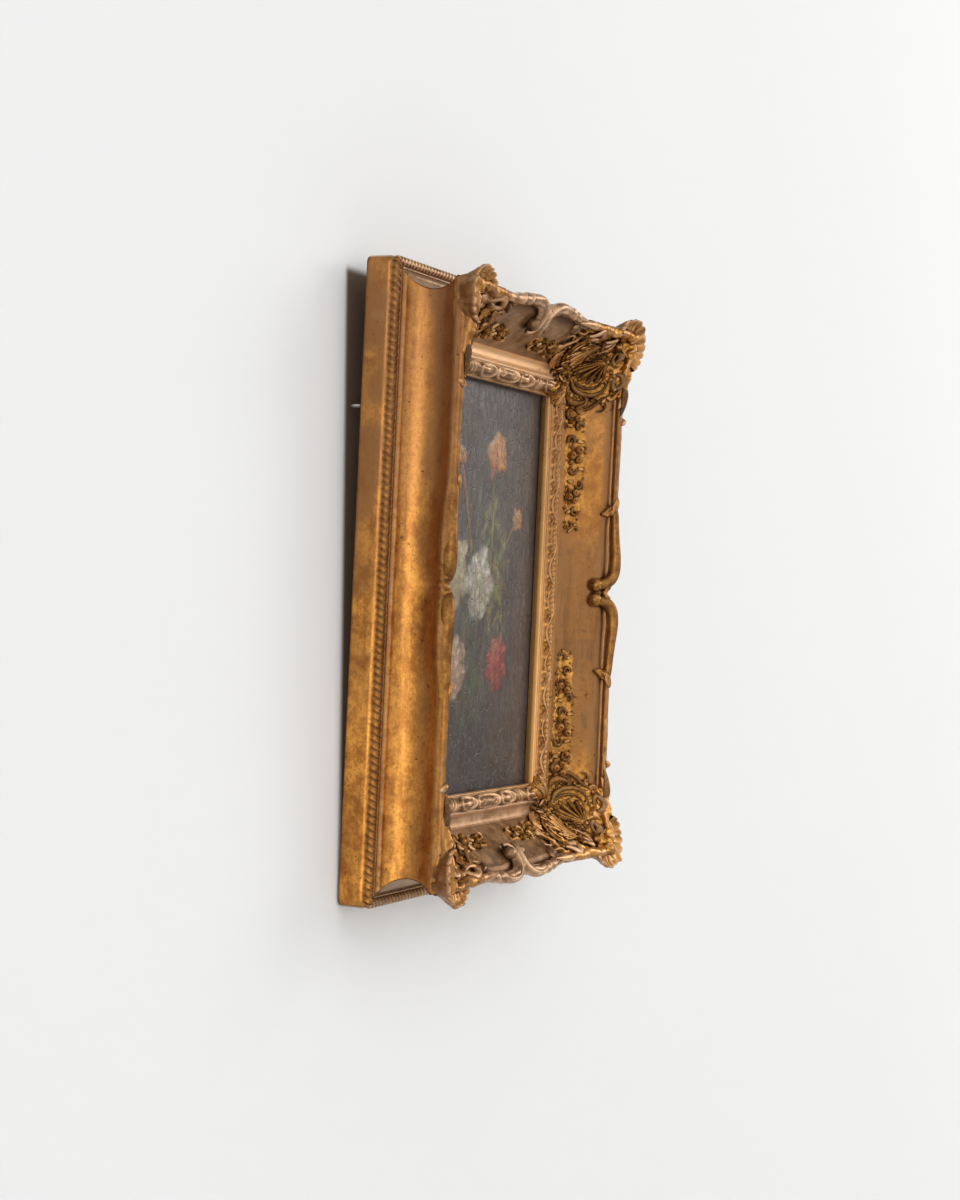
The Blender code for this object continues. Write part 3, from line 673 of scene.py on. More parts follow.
def corner_ornament(heap, side, end, stretch, seed):
    """Shell, band, loops, knobs and leaves on one half of a corner; the level half is stretched."""
    carver = Carver(heap, lambda sig, t, h: on_corner(side, end, sig * stretch, t, h), turned(side, end))
    slender = 1.0 if stretch == 1.0 else 0.78

    def strand(knots, count, sides, rub, bulb=False):
        k = np.array(knots, float)
        line = smooth_line(np.stack([k[:, 1] - k[:, 0], bed_t(k[:, 0]), k[:, 2], k[:, 3]], 1), count)
        radius = line[:, 3] * slender
        if bulb:
            ends = np.clip((np.linspace(0, 1, count) - 0.88) / 0.125, 0, 1)
            radius = radius * np.sqrt(np.clip(1 - ends ** 2, 0.02, 1))
        carver.tube(line[:, :3], radius, sides, rub)

    for u, y, thick in SHELL_RIM:
        swelling = ((0.06, 4.4, 0.7), (0.35, 2.7, 0.95), (0.70, 1.9, 0.72 * thick), (1.0, 2.5, thick))
        rib = [(SHELL_U + f * (u - SHELL_U), SHELL_Y + f * (y - SHELL_Y), h, r) for f, h, r in swelling]
        strand(rib, 22, 12, 0.12, bulb=True)
    hinge = (SHELL_Y - SHELL_U - 0.5, bed_t(SHELL_U) - 1.0, 4.4)
    carver.ball(hinge, (2.0 / stretch, 2.2, 1.8), rub=0.3)
    if stretch == 1.0:
        strand(*SHELL_BAND)
    else:
        for sig, inset, start, turns in LEVEL_CURLS:
            carver.scroll(sig, bed_t(inset), start, turns, 2.6, 0.95, h=2.8, rub=0.3)
    for values in STRANDS:
        strand(*values)
    # the gold panel between the band's two edges
    swing, out = np.meshgrid(np.linspace(-1, 1, 26), np.linspace(0, 1, 9))
    u = 31.0 + (8.2 + 4.4 * out) * 0.78 * np.sin(1.15 * swing)
    y = 46.6 + (8.2 + 4.4 * out) * np.cos(1.15 * swing)
    h = 2.2 + 0.35 * noise(swing * 12, out * 6, 1.1, seed + 9) + 0.4 * np.abs(np.cos(swing * 14))
    heap.grid(carver.where(y - u, bed_t(u), h), flip=carver.flip, rub=0.05)
    for sig, inset, size_y, size_t, h, r in LOOPS:
        k, t = np.linspace(0.12, 0.98, 34) * 2 * np.pi, bed_t(inset) - 1
        path = np.stack([sig + size_y * np.cos(k), t + size_t * np.sin(k), h + 0.9 * np.sin(k + 0.8)], 1)
        # the loop carries a painted highlight
        carver.tube(path, r, rub=0.7, stain=-0.3)
        carver.ball((sig, t, h - 1.8), (0.5 * size_y, 0.45 * size_t, 1.9), rub=0.0)
    for sig, inset, h, r in KNOBS:
        carver.ball((sig, bed_t(inset), h), (r / stretch ** 0.5, r, r))
    for sig, inset, heading, length, width, bend in EDGE_LEAVES:
        length = length / (1 + (stretch - 1) * abs(math.cos(heading)))
        carver.leaf(sig, bed_t(inset), heading, length, width, bend, 1.6, 1.2, 0.8, 0.3)
    for sig, inset, start, turns, h in CURLS:
        carver.scroll(sig, bed_t(inset), start, turns, 2.0 / (1 + 0.3 * (stretch - 1)), 0.7, h=h)
    if side in UPRIGHTS:
        carver.ball((63, CREST_T - 1.5, 1.0), 2.3, rings=9, sides=14, rub=0.5)


def make_corner(level, side_z, upright, side_x, material):
    heap, seed = Heap(), 40 + 3 * side_x + side_z
    halves = ((upright, side_z, 1.0), (level, side_x, 1.5))
    corner_sheet(heap, halves, side_x * side_z > 0, seed)
    corner_fan(heap, side_x, side_z, seed)
    for side, end, stretch in halves:
        corner_ornament(heap, side, end, stretch, seed)
    return heap.mesh(f"cartouche_{level}_{upright}", material)


# ---------------- painting
GREEN, OLIVE, SPRING = (0.105, 0.135, 0.040), (0.22, 0.21, 0.055), (0.27, 0.30, 0.11)
MOSS, SHADE, GREY = (0.070, 0.084, 0.045), (0.060, 0.052, 0.050), (0.115, 0.108, 0.100)
OCHRE, AMBER, FLAME, STRAW = (0.34, 0.16, 0.05), (0.50, 0.25, 0.09), (0.46, 0.15, 0.055), (0.60, 0.38, 0.16)
CREAM, IVORY, BLUSH = (0.50, 0.46, 0.30), (0.62, 0.60, 0.48), (0.50, 0.38, 0.28)
ROSE, RED, WINE = (0.50, 0.14, 0.12), (0.36, 0.055, 0.045), (0.16, 0.025, 0.025)


def paint_picture(columns, rows, wide, high):
    """A loose bunch of garden flowers on a dark ground: colour and paint thickness over the board."""
    x, z = np.meshgrid(np.linspace(-wide / 2, wide / 2, columns), np.linspace(-high / 2, high / 2, rows))
    rng = np.random.default_rng(17)
    tone = 1 + 0.22 * noise(x, z, 34, 2) + 0.14 * noise(x * 2.2, z * 0.6, 9, 3)
    tone = tone + 0.10 * noise(x * 3, z, 3.5, 4)
    tone = tone * (1 - 0.30 * step(0, -high / 2, z)) * (1 + 0.10 * step(-0.1 * wide, 0.45 * wide, x))
    violet = (0.5 + 0.5 * noise(x, z, 42, 12))[..., None]
    colour = np.array([0.064, 0.052, 0.046]) * (1 - violet) + np.array([0.060, 0.054, 0.056]) * violet
    edge_light = step(0.36 * wide, 0.42 * wide, x) * (0.75 + 0.25 * noise(x, z * 0.4, 14, 13))
    colour = colour * tone[..., None] + edge_light[..., None] * np.array([0.030, 0.026, 0.022])
    body = 0.10 * noise(x * 2.5, z * 0.7, 5, 5) + 0.06 * noise(x * 3, z * 2, 2, 6)
    ragged = noise(x, z, 3.2, 21) + 0.7 * noise(x * 1.4, z * 0.6, 1.6, 22)

    def daub(cx, cz, length, width, angle, rgb, thick=0.25, strength=0.9):
        """One brush stroke with ragged, soft ends and bristle marks along it."""
        reach = 0.75 * max(length, width) + 1
        part = (slice(*np.searchsorted(z[:, 0], (cz - reach, cz + reach))),
                slice(*np.searchsorted(x[0], (cx - reach, cx + reach))))
        if x[part].size == 0:
            return
        px, pz, rag = x[part] - cx, z[part] - cz, ragged[part]
        along = px * math.cos(angle) + pz * math.sin(angle)
        over = -px * math.sin(angle) + pz * math.cos(angle) + 0.04 * along * along / max(length, 1)
        e = (along / (length / 2)) ** 2 + (over / (width / 2)) ** 2 + 0.30 * rag
        mask = step(1.5, 0.325, e) * strength * (0.80 + 0.20 * np.sin(over * 6.0 + rag * 2.0))
        streaked = mask * (1 + 0.16 * np.sin(over * 4.5 + 2.5 * rag))
        colour[part] = colour[part] * (1 - mask[..., None]) + np.array(rgb) * streaked[..., None]
        body[part] += thick * mask * (0.6 + 0.4 * np.sin(over * 4.0))

    def vary(rgb, amount=0.18):
        return [max(0.0, c * (1 + amount * rng.uniform(-1, 1))) for c in rgb]

    def stem(points, rgb, width):
        line = smooth_line(points, 30)
        for p0, p1 in zip(line, line[1:]):
            middle, (across, up) = 0.5 * (p0 + p1), p1 - p0
            daub(*middle, np.hypot(across, up) * 2.4, width, math.atan2(up, across), vary(rgb), 0.10, 0.75)

    def foliage(cx, cz, spread_x, spread_z, count, rgb, size=1.0):
        for _ in range(count):
            a, r = rng.uniform(0, 2 * math.pi), math.sqrt(rng.uniform(0, 1))
            lean = 1.57 + rng.normal(0, 0.55)
            daub(cx + spread_x * r * math.cos(a), cz + spread_z * r * math.sin(a), size * rng.uniform(9, 20),
                 size * rng.uniform(3, 6), lean, vary(rgb, 0.4), 0.10, rng.uniform(0.35, 0.75))

    def flower(cx, cz, size, dark, middle, light, petals, open_way=0.0, spread=2 * math.pi, tilt=1.0):
        """Petals laid from the outside in, each a shadow stroke, a body stroke and lit edges."""
        def at(reach, a):
            return cx + reach * math.cos(a), cz + reach * tilt * math.sin(a)

        for _ in range(9):
            a = rng.uniform(0, 2 * math.pi)
            daub(*at(0.8 * size, a), size, 0.5 * size, a + 1.2, vary(SHADE), 0.05, 0.5)
        for ring, count in ((0.66, petals), (0.46, petals - 1), (0.26, max(3, petals - 3)), (0.10, 3)):
            for k in range(count):
                a = open_way + spread * ((k + 0.5 * (ring < 0.5)) / count - 0.5) + rng.uniform(-0.22, 0.22)
                px, pz = at(size * ring * rng.uniform(0.85, 1.2), a)
                lit = 0.5 + 0.5 * math.sin(a + 0.6) * rng.uniform(0.5, 1)
                petal = [d + (m - d) * (0.35 + 0.65 * lit) for d, m in zip(dark, middle)]
                length, width = size * rng.uniform(0.50, 0.66), size * rng.uniform(0.44, 0.62)
                daub(px, pz, length * 1.06, width * 1.3, a, vary(dark), 0.12, 0.7)
                daub(px, pz, length, width, a + rng.uniform(-0.2, 0.2), vary(petal, 0.1), 0.30)
                for _ in range(2):
                    over, out = rng.uniform(-0.3, 0.3) * width, 0.16 * length
                    lx = px + over * math.sin(a) + out * math.cos(a)
                    lz = pz - over * math.cos(a) + out * math.sin(a)
                    daub(lx, lz, length * 0.6, width * 0.22, a + rng.uniform(-0.3, 0.3), vary(light, 0.1),
                         0.30, 0.35 + 0.5 * lit)
        for _ in range(5):
            a = rng.uniform(0, 2 * math.pi)
            daub(*at(0.3 * size, a), 0.4 * size, 0.08 * size, a + 1.4, vary(dark), 0.0, 0.6)

    h = high / 2
    foliage(0, 0.0, 50, 75, 70, GREY, 1.5)
    foliage(-4, 0.05 * h, 44, 56, 90, MOSS)
    stem([(8, -0.10 * h), (15, 0.22 * h), (14, 0.50 * h)], OLIVE, 2.8)
    stem([(-8, -0.05 * h), (-22, 0.28 * h), (-36, 0.55 * h)], OCHRE, 2.6)
    stem([(2, -0.05 * h), (34, 0.18 * h), (52, 0.32 * h)], OLIVE, 2.2)
    stem([(-4, -0.1 * h), (-44, 0.1 * h), (-62, 0.24 * h)], OLIVE, 2.0)
    stem([(10, -0.1 * h), (24, -0.3 * h), (34, -0.42 * h)], GREEN, 2.4)
    foliage(6, 0.12 * h, 30, 30, 30, GREEN)
    foliage(-34, -0.34 * h, 24, 34, 26, GREEN)
    foliage(26, -0.02 * h, 16, 26, 26, OLIVE, 0.9)
    foliage(12, 0.30 * h, 12, 18, 12, SPRING, 0.8)
    foliage(-6, -0.52 * h, 26, 22, 26, (0.065, 0.085, 0.042), 1.2)
    foliage(34, 0.10 * h, 10, 20, 10, SPRING, 0.7)
    flower(16, 0.60 * h, 17, OCHRE, AMBER, (0.66, 0.40, 0.16), 7, 1.57, 3.6, 1.25)
    daub(12, 0.60 * h, 30, 8, 1.45, FLAME, 0.2, 0.7)
    daub(20, 0.63 * h, 26, 5, 1.75, (0.60, 0.34, 0.12), 0.3, 0.7)
    flower(-40, 0.58 * h, 9, OCHRE, AMBER, STRAW, 5, 1.57, 3.0, 1.3)
    flower(56, 0.34 * h, 9, OCHRE, (0.44, 0.28, 0.12), (0.56, 0.44, 0.24), 6)
    flower(-64, 0.26 * h, 8, FLAME, AMBER, STRAW, 6)
    flower(-42, 0.06 * h, 22, (0.26, 0.23, 0.13), CREAM, IVORY, 9, 0.5, tilt=1.2)
    flower(-4, 0.01 * h, 23, (0.24, 0.235, 0.19), (0.52, 0.52, 0.44), (0.76, 0.75, 0.68), 10, 2.0, tilt=1.15)
    foliage(12, -0.06 * h, 10, 20, 10, (0.20, 0.20, 0.045), 0.6)
    flower(-40, -0.38 * h, 21, (0.26, 0.16, 0.11), BLUSH, (0.70, 0.58, 0.45), 9, 1.0, tilt=1.25)
    flower(30, -0.36 * h, 18, WINE, RED, ROSE, 8, -1.2, tilt=1.25)
    daub(24, -0.36 * h, 30, 9, 1.5, (0.46, 0.13, 0.08), 0.3, 0.6)
    foliage(30, -0.22 * h, 9, 16, 9, OLIVE, 0.7)
    foliage(-12, -0.30 * h, 20, 26, 20, (0.070, 0.095, 0.050), 1.0)
    # fine pale streaks: painted glints where the paint's texture catches the light
    for _ in range(300):
        daub(rng.uniform(-wide / 2, wide / 2), rng.uniform(-h, h), rng.uniform(2, 7), rng.uniform(0.5, 0.9),
             rng.uniform(1.2, 2.0), vary((0.32, 0.31, 0.29), 0.3), 0.12, rng.uniform(0.15, 0.7))
    darkening = 1 - 0.2 * np.clip(noise(x, z, 16, 9), 0, 1)
    # painted shadow of the right rail's lip along the picture's right edge, wider towards the top
    lip_shadow = 1 - 0.75 * step(wide / 2 - 3 - 9 * (z + high / 2) / high, wide / 2 - 1, x)
    return x, z, np.clip(np.array([0.84, 0.74, 0.66]) * colour * (darkening * lip_shadow)[..., None], 0, 1), body


def make_painting(material, wood):
    low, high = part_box("painting")
    wide, tall = (high.x - low.x) / MM, (high.z - low.z) / MM
    front, back = -low.y / MM, -high.y / MM
    x, z, colour, body = paint_picture(120, 324, wide, tall)
    fade = step(0, 3, wide / 2 - np.abs(x)) * step(0, 3, tall / 2 - np.abs(z))
    depth = front - 0.35 + np.clip(body, -0.2, 0.6) * 0.6 * fade
    heap = Heap()
    index = heap.grid(np.stack([x, -depth, z + (low.z + high.z) / 2 / MM], -1) * MM)
    painted = len(heap.faces)
    loop = np.concatenate([index[0, :], index[1:, -1], index[-1, -2::-1], index[-2:0:-1, 0]])
    border = heap.points[0][loop]
    # the board's edge, with its arris taken off at the back
    rings = [border]
    for y, shrink in ((front - 0.9, 0), (back + 0.3, 0), (back, 0.6)):
        ring = border.copy()
        ring[:, 1] = -y * MM
        for axis, size in ((0, wide), (2, tall)):
            middle = ring[:, axis].mean()
            ring[:, axis] = middle + (ring[:, axis] - middle) * (1 - shrink / size)
        rings.append(ring)
    rim = heap.grid(np.stack(rings), around=True, flip=True)
    heap.faces.append(rim[-1, -2::-1].tolist())
    obj = heap.mesh("oil_painting", material)
    data = obj.data
    data.materials.append(wood)
    is_wood = np.arange(len(data.polygons)) >= painted
    data.polygons.foreach_set("material_index", is_wood.astype(np.int32))
    data.polygons.foreach_set("use_smooth", ~is_wood)
    rgba = np.ones((len(data.vertices), 4), np.float32)
    rgba[:, :3] = 0.09, 0.08, 0.075
    rgba[:x.size, :3] = colour.reshape(-1, 3)
    data.color_attributes.new("paint", "FLOAT_COLOR", "POINT").data.foreach_set("color", rgba.ravel())
    return obj


# ---------------- materials
def tint(rgb, share):
    return tuple(c * share for c in rgb)


class Nodes:
    """A short way to write a node tree."""

    def __init__(self, name):
        self.material = bpy.data.materials.new(name)
        self.material.use_nodes = True
        self.tree = self.material.node_tree
        self.shader = self.tree.nodes["Principled BSDF"]
        self.coords = self.tree.nodes.new("ShaderNodeTexCoord").outputs["Object"]

    def put(self, socket, value):
        if isinstance(value, bpy.types.NodeSocket):
            self.tree.links.new(value, socket)
        elif isinstance(value, tuple) and len(value) == 3 and socket.type == "RGBA":
            socket.default_value = (*value, 1)
        else:
            socket.default_value = value

    def add(self, kind, out, props=None, **inputs):
        node = self.tree.nodes.new("ShaderNode" + kind)
        for key, value in (props or {}).items():
            setattr(node, key, value)
        for key, value in inputs.items():
            self.put(node.inputs[key.replace("_", " ")], value)
        return node.outputs[out]

    def join(self, kind, out, sockets, props=None):
        """The same for a node whose inputs are set by their place: sockets is {number: value}."""
        output = self.add(kind, out, props)
        for number, value in sockets.items():
            self.put(output.node.inputs[number], value)
        return output

    def scaled(self, *scale):
        return self.add("Mapping", "Vector", Vector=self.coords, Scale=Vector(scale))

    def noise(self, scale, detail=3, rough=0.55, vector=None):
        vector = vector or self.coords
        return self.add("TexNoise", "Fac", Vector=vector, Scale=scale, Detail=detail, Roughness=rough)

    def ramp(self, fac, low, high, a=0.0, b=1.0):
        values = dict(enumerate((fac, low, high, a, b)))
        return self.join("MapRange", 0, values, {"interpolation_type": "SMOOTHSTEP"})

    def math(self, operation, a, b=0.0, clamp=False):
        return self.join("Math", 0, {0: a, 1: b}, {"operation": operation, "use_clamp": clamp})

    def times(self, *factors, clamp=False):
        product = factors[0]
        for factor in factors[1:]:
            product = self.math("MULTIPLY", product, factor, clamp and factor is factors[-1])
        return product

    def less(self, value, start=1.0):
        return self.math("SUBTRACT", start, value)

    def mix(self, fac, a, b):
        return self.join("Mix", 2, {0: fac, 6: a, 7: b}, {"data_type": "RGBA"})

    def attribute(self, name, out="Fac"):
        return self.add("Attribute", out, {"attribute_name": name})

    def bumps(self, height, strength=0.6, distance=0.0004):
        return self.add("Bump", "Normal", Strength=strength, Distance=distance, Height=height)

    def finish(self, **inputs):
        for key, value in inputs.items():
            self.put(self.shader.inputs[key.replace("_", " ")], value)
        return self.material


WOOD_DARK, WOOD_PALE = (0.050, 0.030, 0.018), (0.135, 0.085, 0.050)
UMBER, RAW_UMBER, HIGHLIGHT_GOLD = (0.18, 0.082, 0.030), (0.28, 0.132, 0.047), (0.94, 0.50, 0.16)
UPPER_BROWN = tint((0.42, 0.19, 0.075), 0.62)


def gilt(name, gold, deep, brown, pale, rubbed=1.0, streak=(1, 1, 0.12), pale_sheen=0.0, dark=1.0, darker_above=0.0,
         reach=0.0045):
    """Old water gilding: mottled gold, brown dirt and painted shade in the hollows, rubbed to a pinkish
    ground on high spots.
    """
    n = Nodes("gilt_" + name)
    broad, mid, fine = n.noise(14, 3, 0.6), n.noise(110, 4, 0.62), n.noise(750, 3, 0.6)
    streaks, grains = n.noise(150, 4, 0.62, n.scaled(*streak)), n.noise(430, 3, 0.7)
    rub, stain = n.attribute("rub"), n.attribute("stain")
    point = n.add("NewGeometry", "Pointiness")

    # the leaf itself, its umber stain and painted shade, and painted highlights where the attribute is below
    # zero
    colour = n.mix(n.ramp(mid, 0.34, 0.62), deep, gold)
    for layer, low, high, share, rgb in (
            (streaks, 0.46, 0.68, 0.60, tint(deep, 0.55)), (broad, 0.50, 0.72, 0.55, tint(gold, 1.15)),
            (broad, 0.46, 0.26, 0.50, tint(deep, 0.8)), (grains, 0.44, 0.66, 0.55, tint(deep, 0.7))):
        colour = n.mix(n.times(n.ramp(layer, low, high), share), colour, rgb)
    # painted sheen: a pale veil over the gold, standing for the washed-out reflection of a pale room
    painted_sheen = n.times(n.ramp(n.noise(60, 4, 0.65), 0.38 - 0.25 * pale_sheen, 0.72), pale_sheen, clamp=True)
    colour = n.mix(painted_sheen, colour, tint(pale, 0.5))
    umber = n.mix(n.ramp(streaks, 0.35, 0.65), UMBER, RAW_UMBER)
    colour = n.mix(n.times(stain, n.ramp(mid, 0.25, 0.6, 0.65, 1.0), clamp=True), colour, umber)
    painted_highlight = n.ramp(stain, 0.0, -1.0)
    colour = n.mix(painted_highlight, colour, HIGHLIGHT_GOLD)

    # rubbed edges
    worn = n.math("ADD", rub, n.times(n.ramp(point, 0.520, 0.585), 0.5))
    worn = n.times(worn, n.ramp(mid, 0.3, 0.62, 0.15, 1.0), clamp=True)
    worn = n.times(worn, n.ramp(stain, 0.0, 1.0, 1.0, 0.35), rubbed, clamp=True)
    colour = n.mix(worn, colour, pale)
    # browner towards the top
    if darker_above:
        height = n.add("SeparateXYZ", "Z", Vector=n.coords)
        height = n.math("ADD", height, n.times(n.math("SUBTRACT", broad, 0.5), 0.35))
        colour = n.mix(n.times(n.ramp(height, -0.28, 0.0), darker_above), colour, UPPER_BROWN)

    # dirt and painted shade in the hollows, from ambient occlusion and concave spots; specks; and bare wood
    hollow = n.ramp(n.add("AmbientOcclusion", "AO", {"samples": 6}, Distance=reach), 0.30, 0.86, 1.0, 0.0)
    darkening = n.math("MAXIMUM", hollow, n.times(n.ramp(point, 0.492, 0.44), 0.8))
    darkening = n.times(darkening, n.ramp(fine, 0.2, 0.6, 0.75, 1.1), dark, clamp=True)
    darkening = n.times(darkening, n.less(n.times(painted_highlight, 0.8)))
    colour = n.mix(darkening, colour, brown)
    clouds = n.ramp(n.noise(30, 2), 0.4, 0.62, 0.1, 1.0)
    specks = n.times(n.ramp(n.noise(380, 2, 0.5), 0.66, 0.72), clouds, 0.75)
    colour = n.mix(specks, colour, tint(brown, 0.9))
    wood = n.ramp(rub, -0.35, -0.65)
    grain = n.noise(90, 4, 0.65, n.scaled(3, 3, 0.3) if streak[2] < 1 else n.scaled(0.3, 3, 3))
    colour = n.mix(wood, colour, n.mix(n.ramp(grain, 0.3, 0.7), WOOD_DARK, WOOD_PALE))

    metal = n.less(n.math("MAXIMUM", n.times(painted_highlight, 0.50), n.times(worn, 0.45)), 0.86)
    metal = n.times(n.math("SUBTRACT", metal, n.times(painted_sheen, 0.25)), n.less(wood), clamp=True)
    rough = n.math("ADD", n.ramp(mid, 0.3, 0.7, 0.27, 0.44), n.times(n.math("MAXIMUM", darkening, wood), 0.30))
    height = n.math("ADD", n.math("ADD", n.times(fine, 0.3), n.times(grains, 0.25)), n.times(mid, 0.6))
    return n.finish(Base_Color=colour, Metallic=metal, Roughness=rough, Normal=n.bumps(height))


def oil_material():
    n = Nodes("oil_paint")
    tall = n.scaled(1.0, 1.0, 0.28)
    mottle = n.ramp(n.noise(300, 4, 0.7, tall), 0.35, 0.75, 0.0, 0.3)
    colour = n.mix(mottle, n.attribute("paint", "Color"), (0.145, 0.133, 0.125))
    # painted glints: pale vertical flecks where the paint's texture catches the light
    glint_flecks = n.ramp(n.noise(900, 2, 0.6, tall), 0.655, 0.70)
    colour = n.mix(n.times(glint_flecks, 0.28), colour, (0.42, 0.41, 0.39))
    wobble = n.add("TexNoise", "Color", Vector=n.coords, Scale=120.0, Detail=2.0)
    wobble = n.join("VectorMath", "Vector", {0: wobble, "Scale": 0.004}, {"operation": "SCALE"})
    warped = n.join("VectorMath", "Vector", {0: n.scaled(1.0, 1.0, 0.55), 1: wobble}, {"operation": "ADD"})
    crack = n.add("TexVoronoi", "Distance", {"feature": "DISTANCE_TO_EDGE"}, Vector=warped, Scale=150.0)
    cracks = n.ramp(crack, 0.05, 0.0)
    crazed = n.ramp(n.noise(40, 2), 0.4, 0.65, 0.15, 0.75)
    colour = n.mix(n.times(cracks, crazed), colour, (0.025, 0.022, 0.02))
    height = n.math("SUBTRACT", n.noise(600, 4, 0.65, tall), n.times(cracks, 0.6))
    return n.finish(Base_Color=colour, Roughness=n.ramp(n.noise(80, 3), 0.3, 0.7, 0.36, 0.52),
                    Normal=n.bumps(height), Coat_Weight=0.12, Coat_Roughness=0.22)


def board_material():
    n = Nodes("board_back")
    grain = n.noise(70, 5, 0.65, n.scaled(3.5, 3.5, 0.22))
    colour = n.mix(grain, (0.19, 0.12, 0.07), (0.33, 0.22, 0.13))
    colour = n.mix(n.times(n.ramp(n.noise(14, 3), 0.5, 0.7), 0.5), colour, (0.11, 0.07, 0.045))
    rough = n.ramp(grain, 0.2, 0.8, 0.62, 0.85)
    return n.finish(Base_Color=colour, Roughness=rough, Normal=n.bumps(grain, 0.4))


def steel_material():
    n = Nodes("steel_wire")
    mottle, rust = n.noise(900, 4, 0.6), n.ramp(n.noise(400, 3), 0.56, 0.7)
    colour = n.mix(mottle, (0.36, 0.35, 0.33), (0.62, 0.61, 0.58))
    colour = n.mix(n.times(rust, 0.6), colour, (0.20, 0.10, 0.05))
    return n.finish(Base_Color=colour, Metallic=n.less(n.times(rust, 0.7)),
                    Roughness=n.ramp(mottle, 0.3, 0.7, 0.28, 0.5), Normal=n.bumps(mottle, 0.3, 0.0001))


BROWN, EVEN, ACROSS = (0.034, 0.010, 0.001), (1, 1, 1), (0.12, 1, 1)
upright_gilt = gilt("upright", (0.70, 0.315, 0.062), (0.36, 0.135, 0.026), BROWN, (0.66, 0.38, 0.21),
                    rubbed=0.9, darker_above=0.55, reach=0.003)
# the top and bottom rails' copy: pinker gold under a painted pale sheen, for the washed-out reflection they
# catch
level_gilt = gilt("level", (0.60, 0.345, 0.155), (0.30, 0.155, 0.065), BROWN, (0.74, 0.46, 0.28),
                  streak=ACROSS, pale_sheen=0.5, dark=0.8)
corner_gilt = gilt("corner", (0.60, 0.27, 0.045), (0.36, 0.145, 0.024), BROWN, (0.62, 0.36, 0.20),
                   streak=EVEN, reach=0.0026)
# a brighter copy of the corner gilt, painted as catching more light: the bottom right corner and the bottom
# sprigs
lit_corner_gilt = gilt("corner_lit", (0.74, 0.36, 0.075), (0.46, 0.20, 0.038), (0.060, 0.022, 0.004),
                       (0.76, 0.46, 0.26), streak=EVEN, dark=0.85, reach=0.0026)
spray_gilt = gilt("spray", (0.64, 0.30, 0.064), (0.38, 0.16, 0.032), BROWN, (0.66, 0.40, 0.20),
                  streak=EVEN, dark=0.8, reach=0.0018)
scroll_gilt = gilt("scroll", (0.50, 0.235, 0.055), (0.24, 0.095, 0.020), BROWN, (0.50, 0.27, 0.13),
                   rubbed=0.7, streak=EVEN)
steel = steel_material()

# ---------------- pieces
for side in SIDES:
    columns, finish, scroll_finish = 388, level_gilt, level_gilt
    if side in UPRIGHTS:
        columns, finish, scroll_finish = 520, upright_gilt, scroll_gilt
    rail = make_rail(side, columns, finish)
    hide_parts("rail_" + side)
    ornament, sprays = Heap(), Heap()
    scroll_pair(ornament, side)
    ornament.mesh("scrolls_" + side, scroll_finish)
    for end in (-1, 1):
        sprig(sprays, side, end)
    spray_finish = lit_corner_gilt if side == "bottom" else spray_gilt
    sprays.mesh("sprigs_" + side, spray_finish)
for level, side_z in (("top", 1), ("bottom", -1)):
    for upright, side_x in (("left", -1), ("right", 1)):
        finish = lit_corner_gilt if (level, upright) == ("bottom", "right") else corner_gilt
        corner = make_corner(level, side_z, upright, side_x, finish)
        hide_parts(f"corner_{level}_{upright}")
picture = make_painting(oil_material(), board_material())
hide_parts("painting")
for name in ("screw_eye_left", "screw_eye_right"):
    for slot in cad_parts[name].material_slots:
        slot.material = steel


# ---------------- stage
LEAN = 0.038
WALL_COLOUR, SHADOW_BROWN, GLOW = (0.83, 0.83, 0.82), (0.13, 0.085, 0.055), (0.84, 0.84, 0.83)
WALL_GAP = 0.0008
WALL_TOP, FLOOR_Z, ROOM_HALF = 3.0, BOTTOM * MM - 1.4, 6
ROOM_DIM, ROOM_BRIGHT = 0.20, 1.30


def mottled(n, colour):
    return n.mix(n.noise(3, 2), colour, tint(colour, 0.985))


def floor_material():
    n = Nodes("floor_paint")
    return n.finish(Base_Color=mottled(n, (0.62, 0.62, 0.61)), Roughness=0.9)


def wall_material():
    """Pale paint, seen from the room's side only.

    It carries a painted shadow behind the frame's left part and gives off a soft light behind its middle.
    """
    n = Nodes("wall_paint")
    x = n.add("SeparateXYZ", "X", Vector=n.coords)
    z = x.node.outputs["Z"]
    half_w, half_h = WIDTH / 2 * MM, HEIGHT / 2 * MM
    off_middle = n.math("ABSOLUTE", n.math("SUBTRACT", z, MIDDLE_Z * MM))
    # painted shadow in the gap behind the frame's left edge
    painted_gap_shadow = n.times(n.ramp(x, -half_w + 0.001, -half_w + 0.007), n.ramp(x, 0.01, 0.0),
                    n.ramp(off_middle, half_h - 0.004, half_h - 0.010))
    n.finish(Base_Color=n.mix(painted_gap_shadow, mottled(n, WALL_COLOUR), SHADOW_BROWN), Roughness=0.9)
    margin = n.ramp(z, BOTTOM * MM, TOP * MM, 0.006, 0.044)
    glow_zone = n.times(n.math("GREATER_THAN", n.math("ADD", x, half_w), margin),
                        n.ramp(x, half_w - 0.006, half_w - 0.012),
                        n.ramp(off_middle, half_h - 0.006, half_h - 0.012))
    surface = n.shader.outputs[0]
    glow, clear = n.add("Emission", 0, Color=GLOW), n.add("BsdfTransparent", 0)
    for share, other in ((glow_zone, glow), (n.add("NewGeometry", "Backfacing"), clear)):
        surface = n.join("MixShader", 0, {0: share, 1: surface, 2: other})
    n.put(n.tree.nodes["Material Output"].inputs["Surface"], surface)
    return n.material


def sheet(name, corners, material):
    data = bpy.data.meshes.new(name)
    data.from_pydata(corners, [], [(0, 1, 2, 3)])
    data.materials.append(material)
    obj = bpy.data.objects.new(name, data)
    bpy.context.scene.collection.objects.link(obj)


def wall_y(z):
    return WALL_GAP + (z - BOTTOM * MM) * LEAN


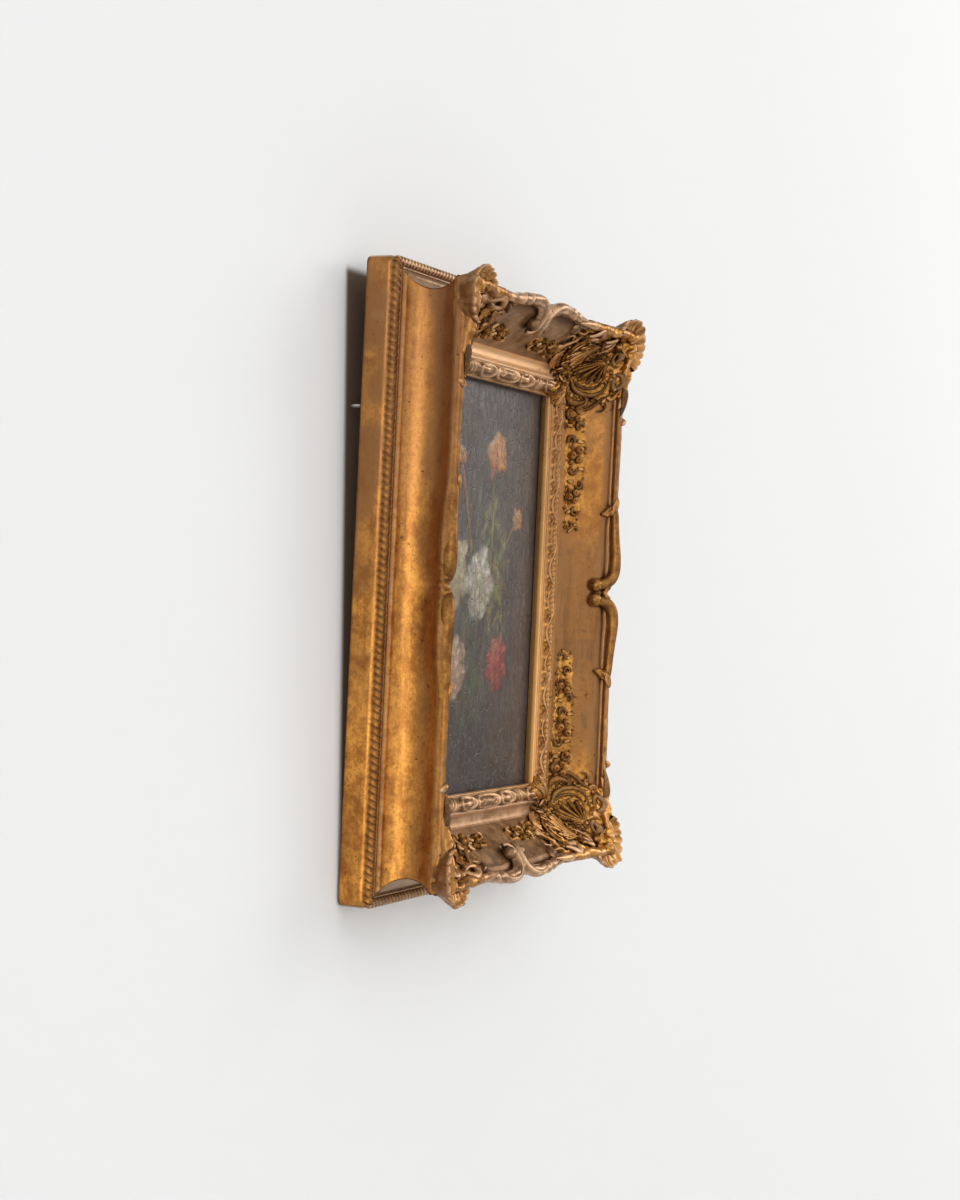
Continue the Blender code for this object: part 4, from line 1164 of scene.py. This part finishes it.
def lamp(name, azimuth, elevation, distance, size, power, colour=(1, 1, 1)):
    """A round soft box aimed at the frame; azimuth 0 is straight before it, positive to the right."""
    data = bpy.data.lights.new(name, "AREA")
    data.shape, data.size, data.energy, data.color = "DISK", size, power, colour
    obj = bpy.data.objects.new(name, data)
    bpy.context.scene.collection.objects.link(obj)
    a, e = math.radians(azimuth), math.radians(elevation)
    away = Vector((math.sin(a) * math.cos(e), -math.cos(a) * math.cos(e), math.sin(e)))
    obj.location = Vector((0, -0.03, MIDDLE_Z * MM)) + away * distance
    obj.rotation_mode = "QUATERNION"
    obj.rotation_quaternion = (-away).to_track_quat("-Z", "Y")


R = ROOM_HALF
sheet("wall", [(x, wall_y(z), z) for x, z in ((-R, FLOOR_Z), (R, FLOOR_Z), (R, WALL_TOP), (-R, WALL_TOP))],
      wall_material())
sheet("floor", [(-R, -R, FLOOR_Z), (R, -R, FLOOR_Z), (R, R, FLOOR_Z), (-R, R, FLOOR_Z)], floor_material())
lamp("key", 52, 18, 6.0, 3.4, 98, (1.0, 0.985, 0.96))
lamp("window", -72, -3, 5.0, 3.4, 62, (0.99, 0.995, 1.0))
lamp("back", 155, 20, 4.0, 2.4, 70)

# The room: bright to the upper left before the frame, dim elsewhere
world = bpy.data.worlds.new("studio")
bpy.context.scene.world = world
world.use_nodes = True
tree = world.node_tree
facing = tree.nodes.new("ShaderNodeVectorMath")
facing.operation = "DOT_PRODUCT"
tree.links.new(tree.nodes.new("ShaderNodeTexCoord").outputs["Generated"], facing.inputs[0])
facing.inputs[1].default_value = Vector((-0.42, -0.85, 0.30)).normalized()
ramp = tree.nodes.new("ShaderNodeMapRange")
ramp.interpolation_type = "SMOOTHSTEP"
for socket, value in zip(ramp.inputs[1:5], (0.10, 0.95, ROOM_DIM, ROOM_BRIGHT)):
    socket.default_value = value
tree.links.new(facing.outputs["Value"], ramp.inputs[0])
tree.links.new(ramp.outputs[0], tree.nodes["Background"].inputs["Strength"])
tree.nodes["Background"].inputs["Color"].default_value = (0.98, 0.985, 1.0, 1)

# ---------------- camera
YAW, PITCH, ROLL = 1.14309, -0.00427, 0.04549
EYE = (-1343.63, -630.81, -2.45 + MIDDLE_Z)
forward = np.array([math.sin(YAW) * math.cos(PITCH), math.cos(YAW) * math.cos(PITCH), math.sin(PITCH)])
across = np.array([math.cos(YAW), -math.sin(YAW), 0.0])
upward = np.cross(across, forward)
right_axis = math.cos(ROLL) * across + math.sin(ROLL) * upward
up_axis = -math.sin(ROLL) * across + math.cos(ROLL) * upward
camera_data = bpy.data.cameras.new("camera")
camera_data.sensor_width, camera_data.lens = 36, 66
camera_data.clip_start, camera_data.clip_end = 0.05, 30
camera = bpy.data.objects.new("camera", camera_data)
bpy.context.scene.collection.objects.link(camera)
matrix = Matrix.Identity(4)
for row in range(3):
    for column, axis in enumerate((right_axis, up_axis, -forward)):
        matrix[row][column] = axis[row]
    matrix[row][3] = EYE[row] * MM
camera.matrix_world = matrix
bpy.context.scene.camera = camera
bpy.context.scene.view_settings.view_transform = "Standard"
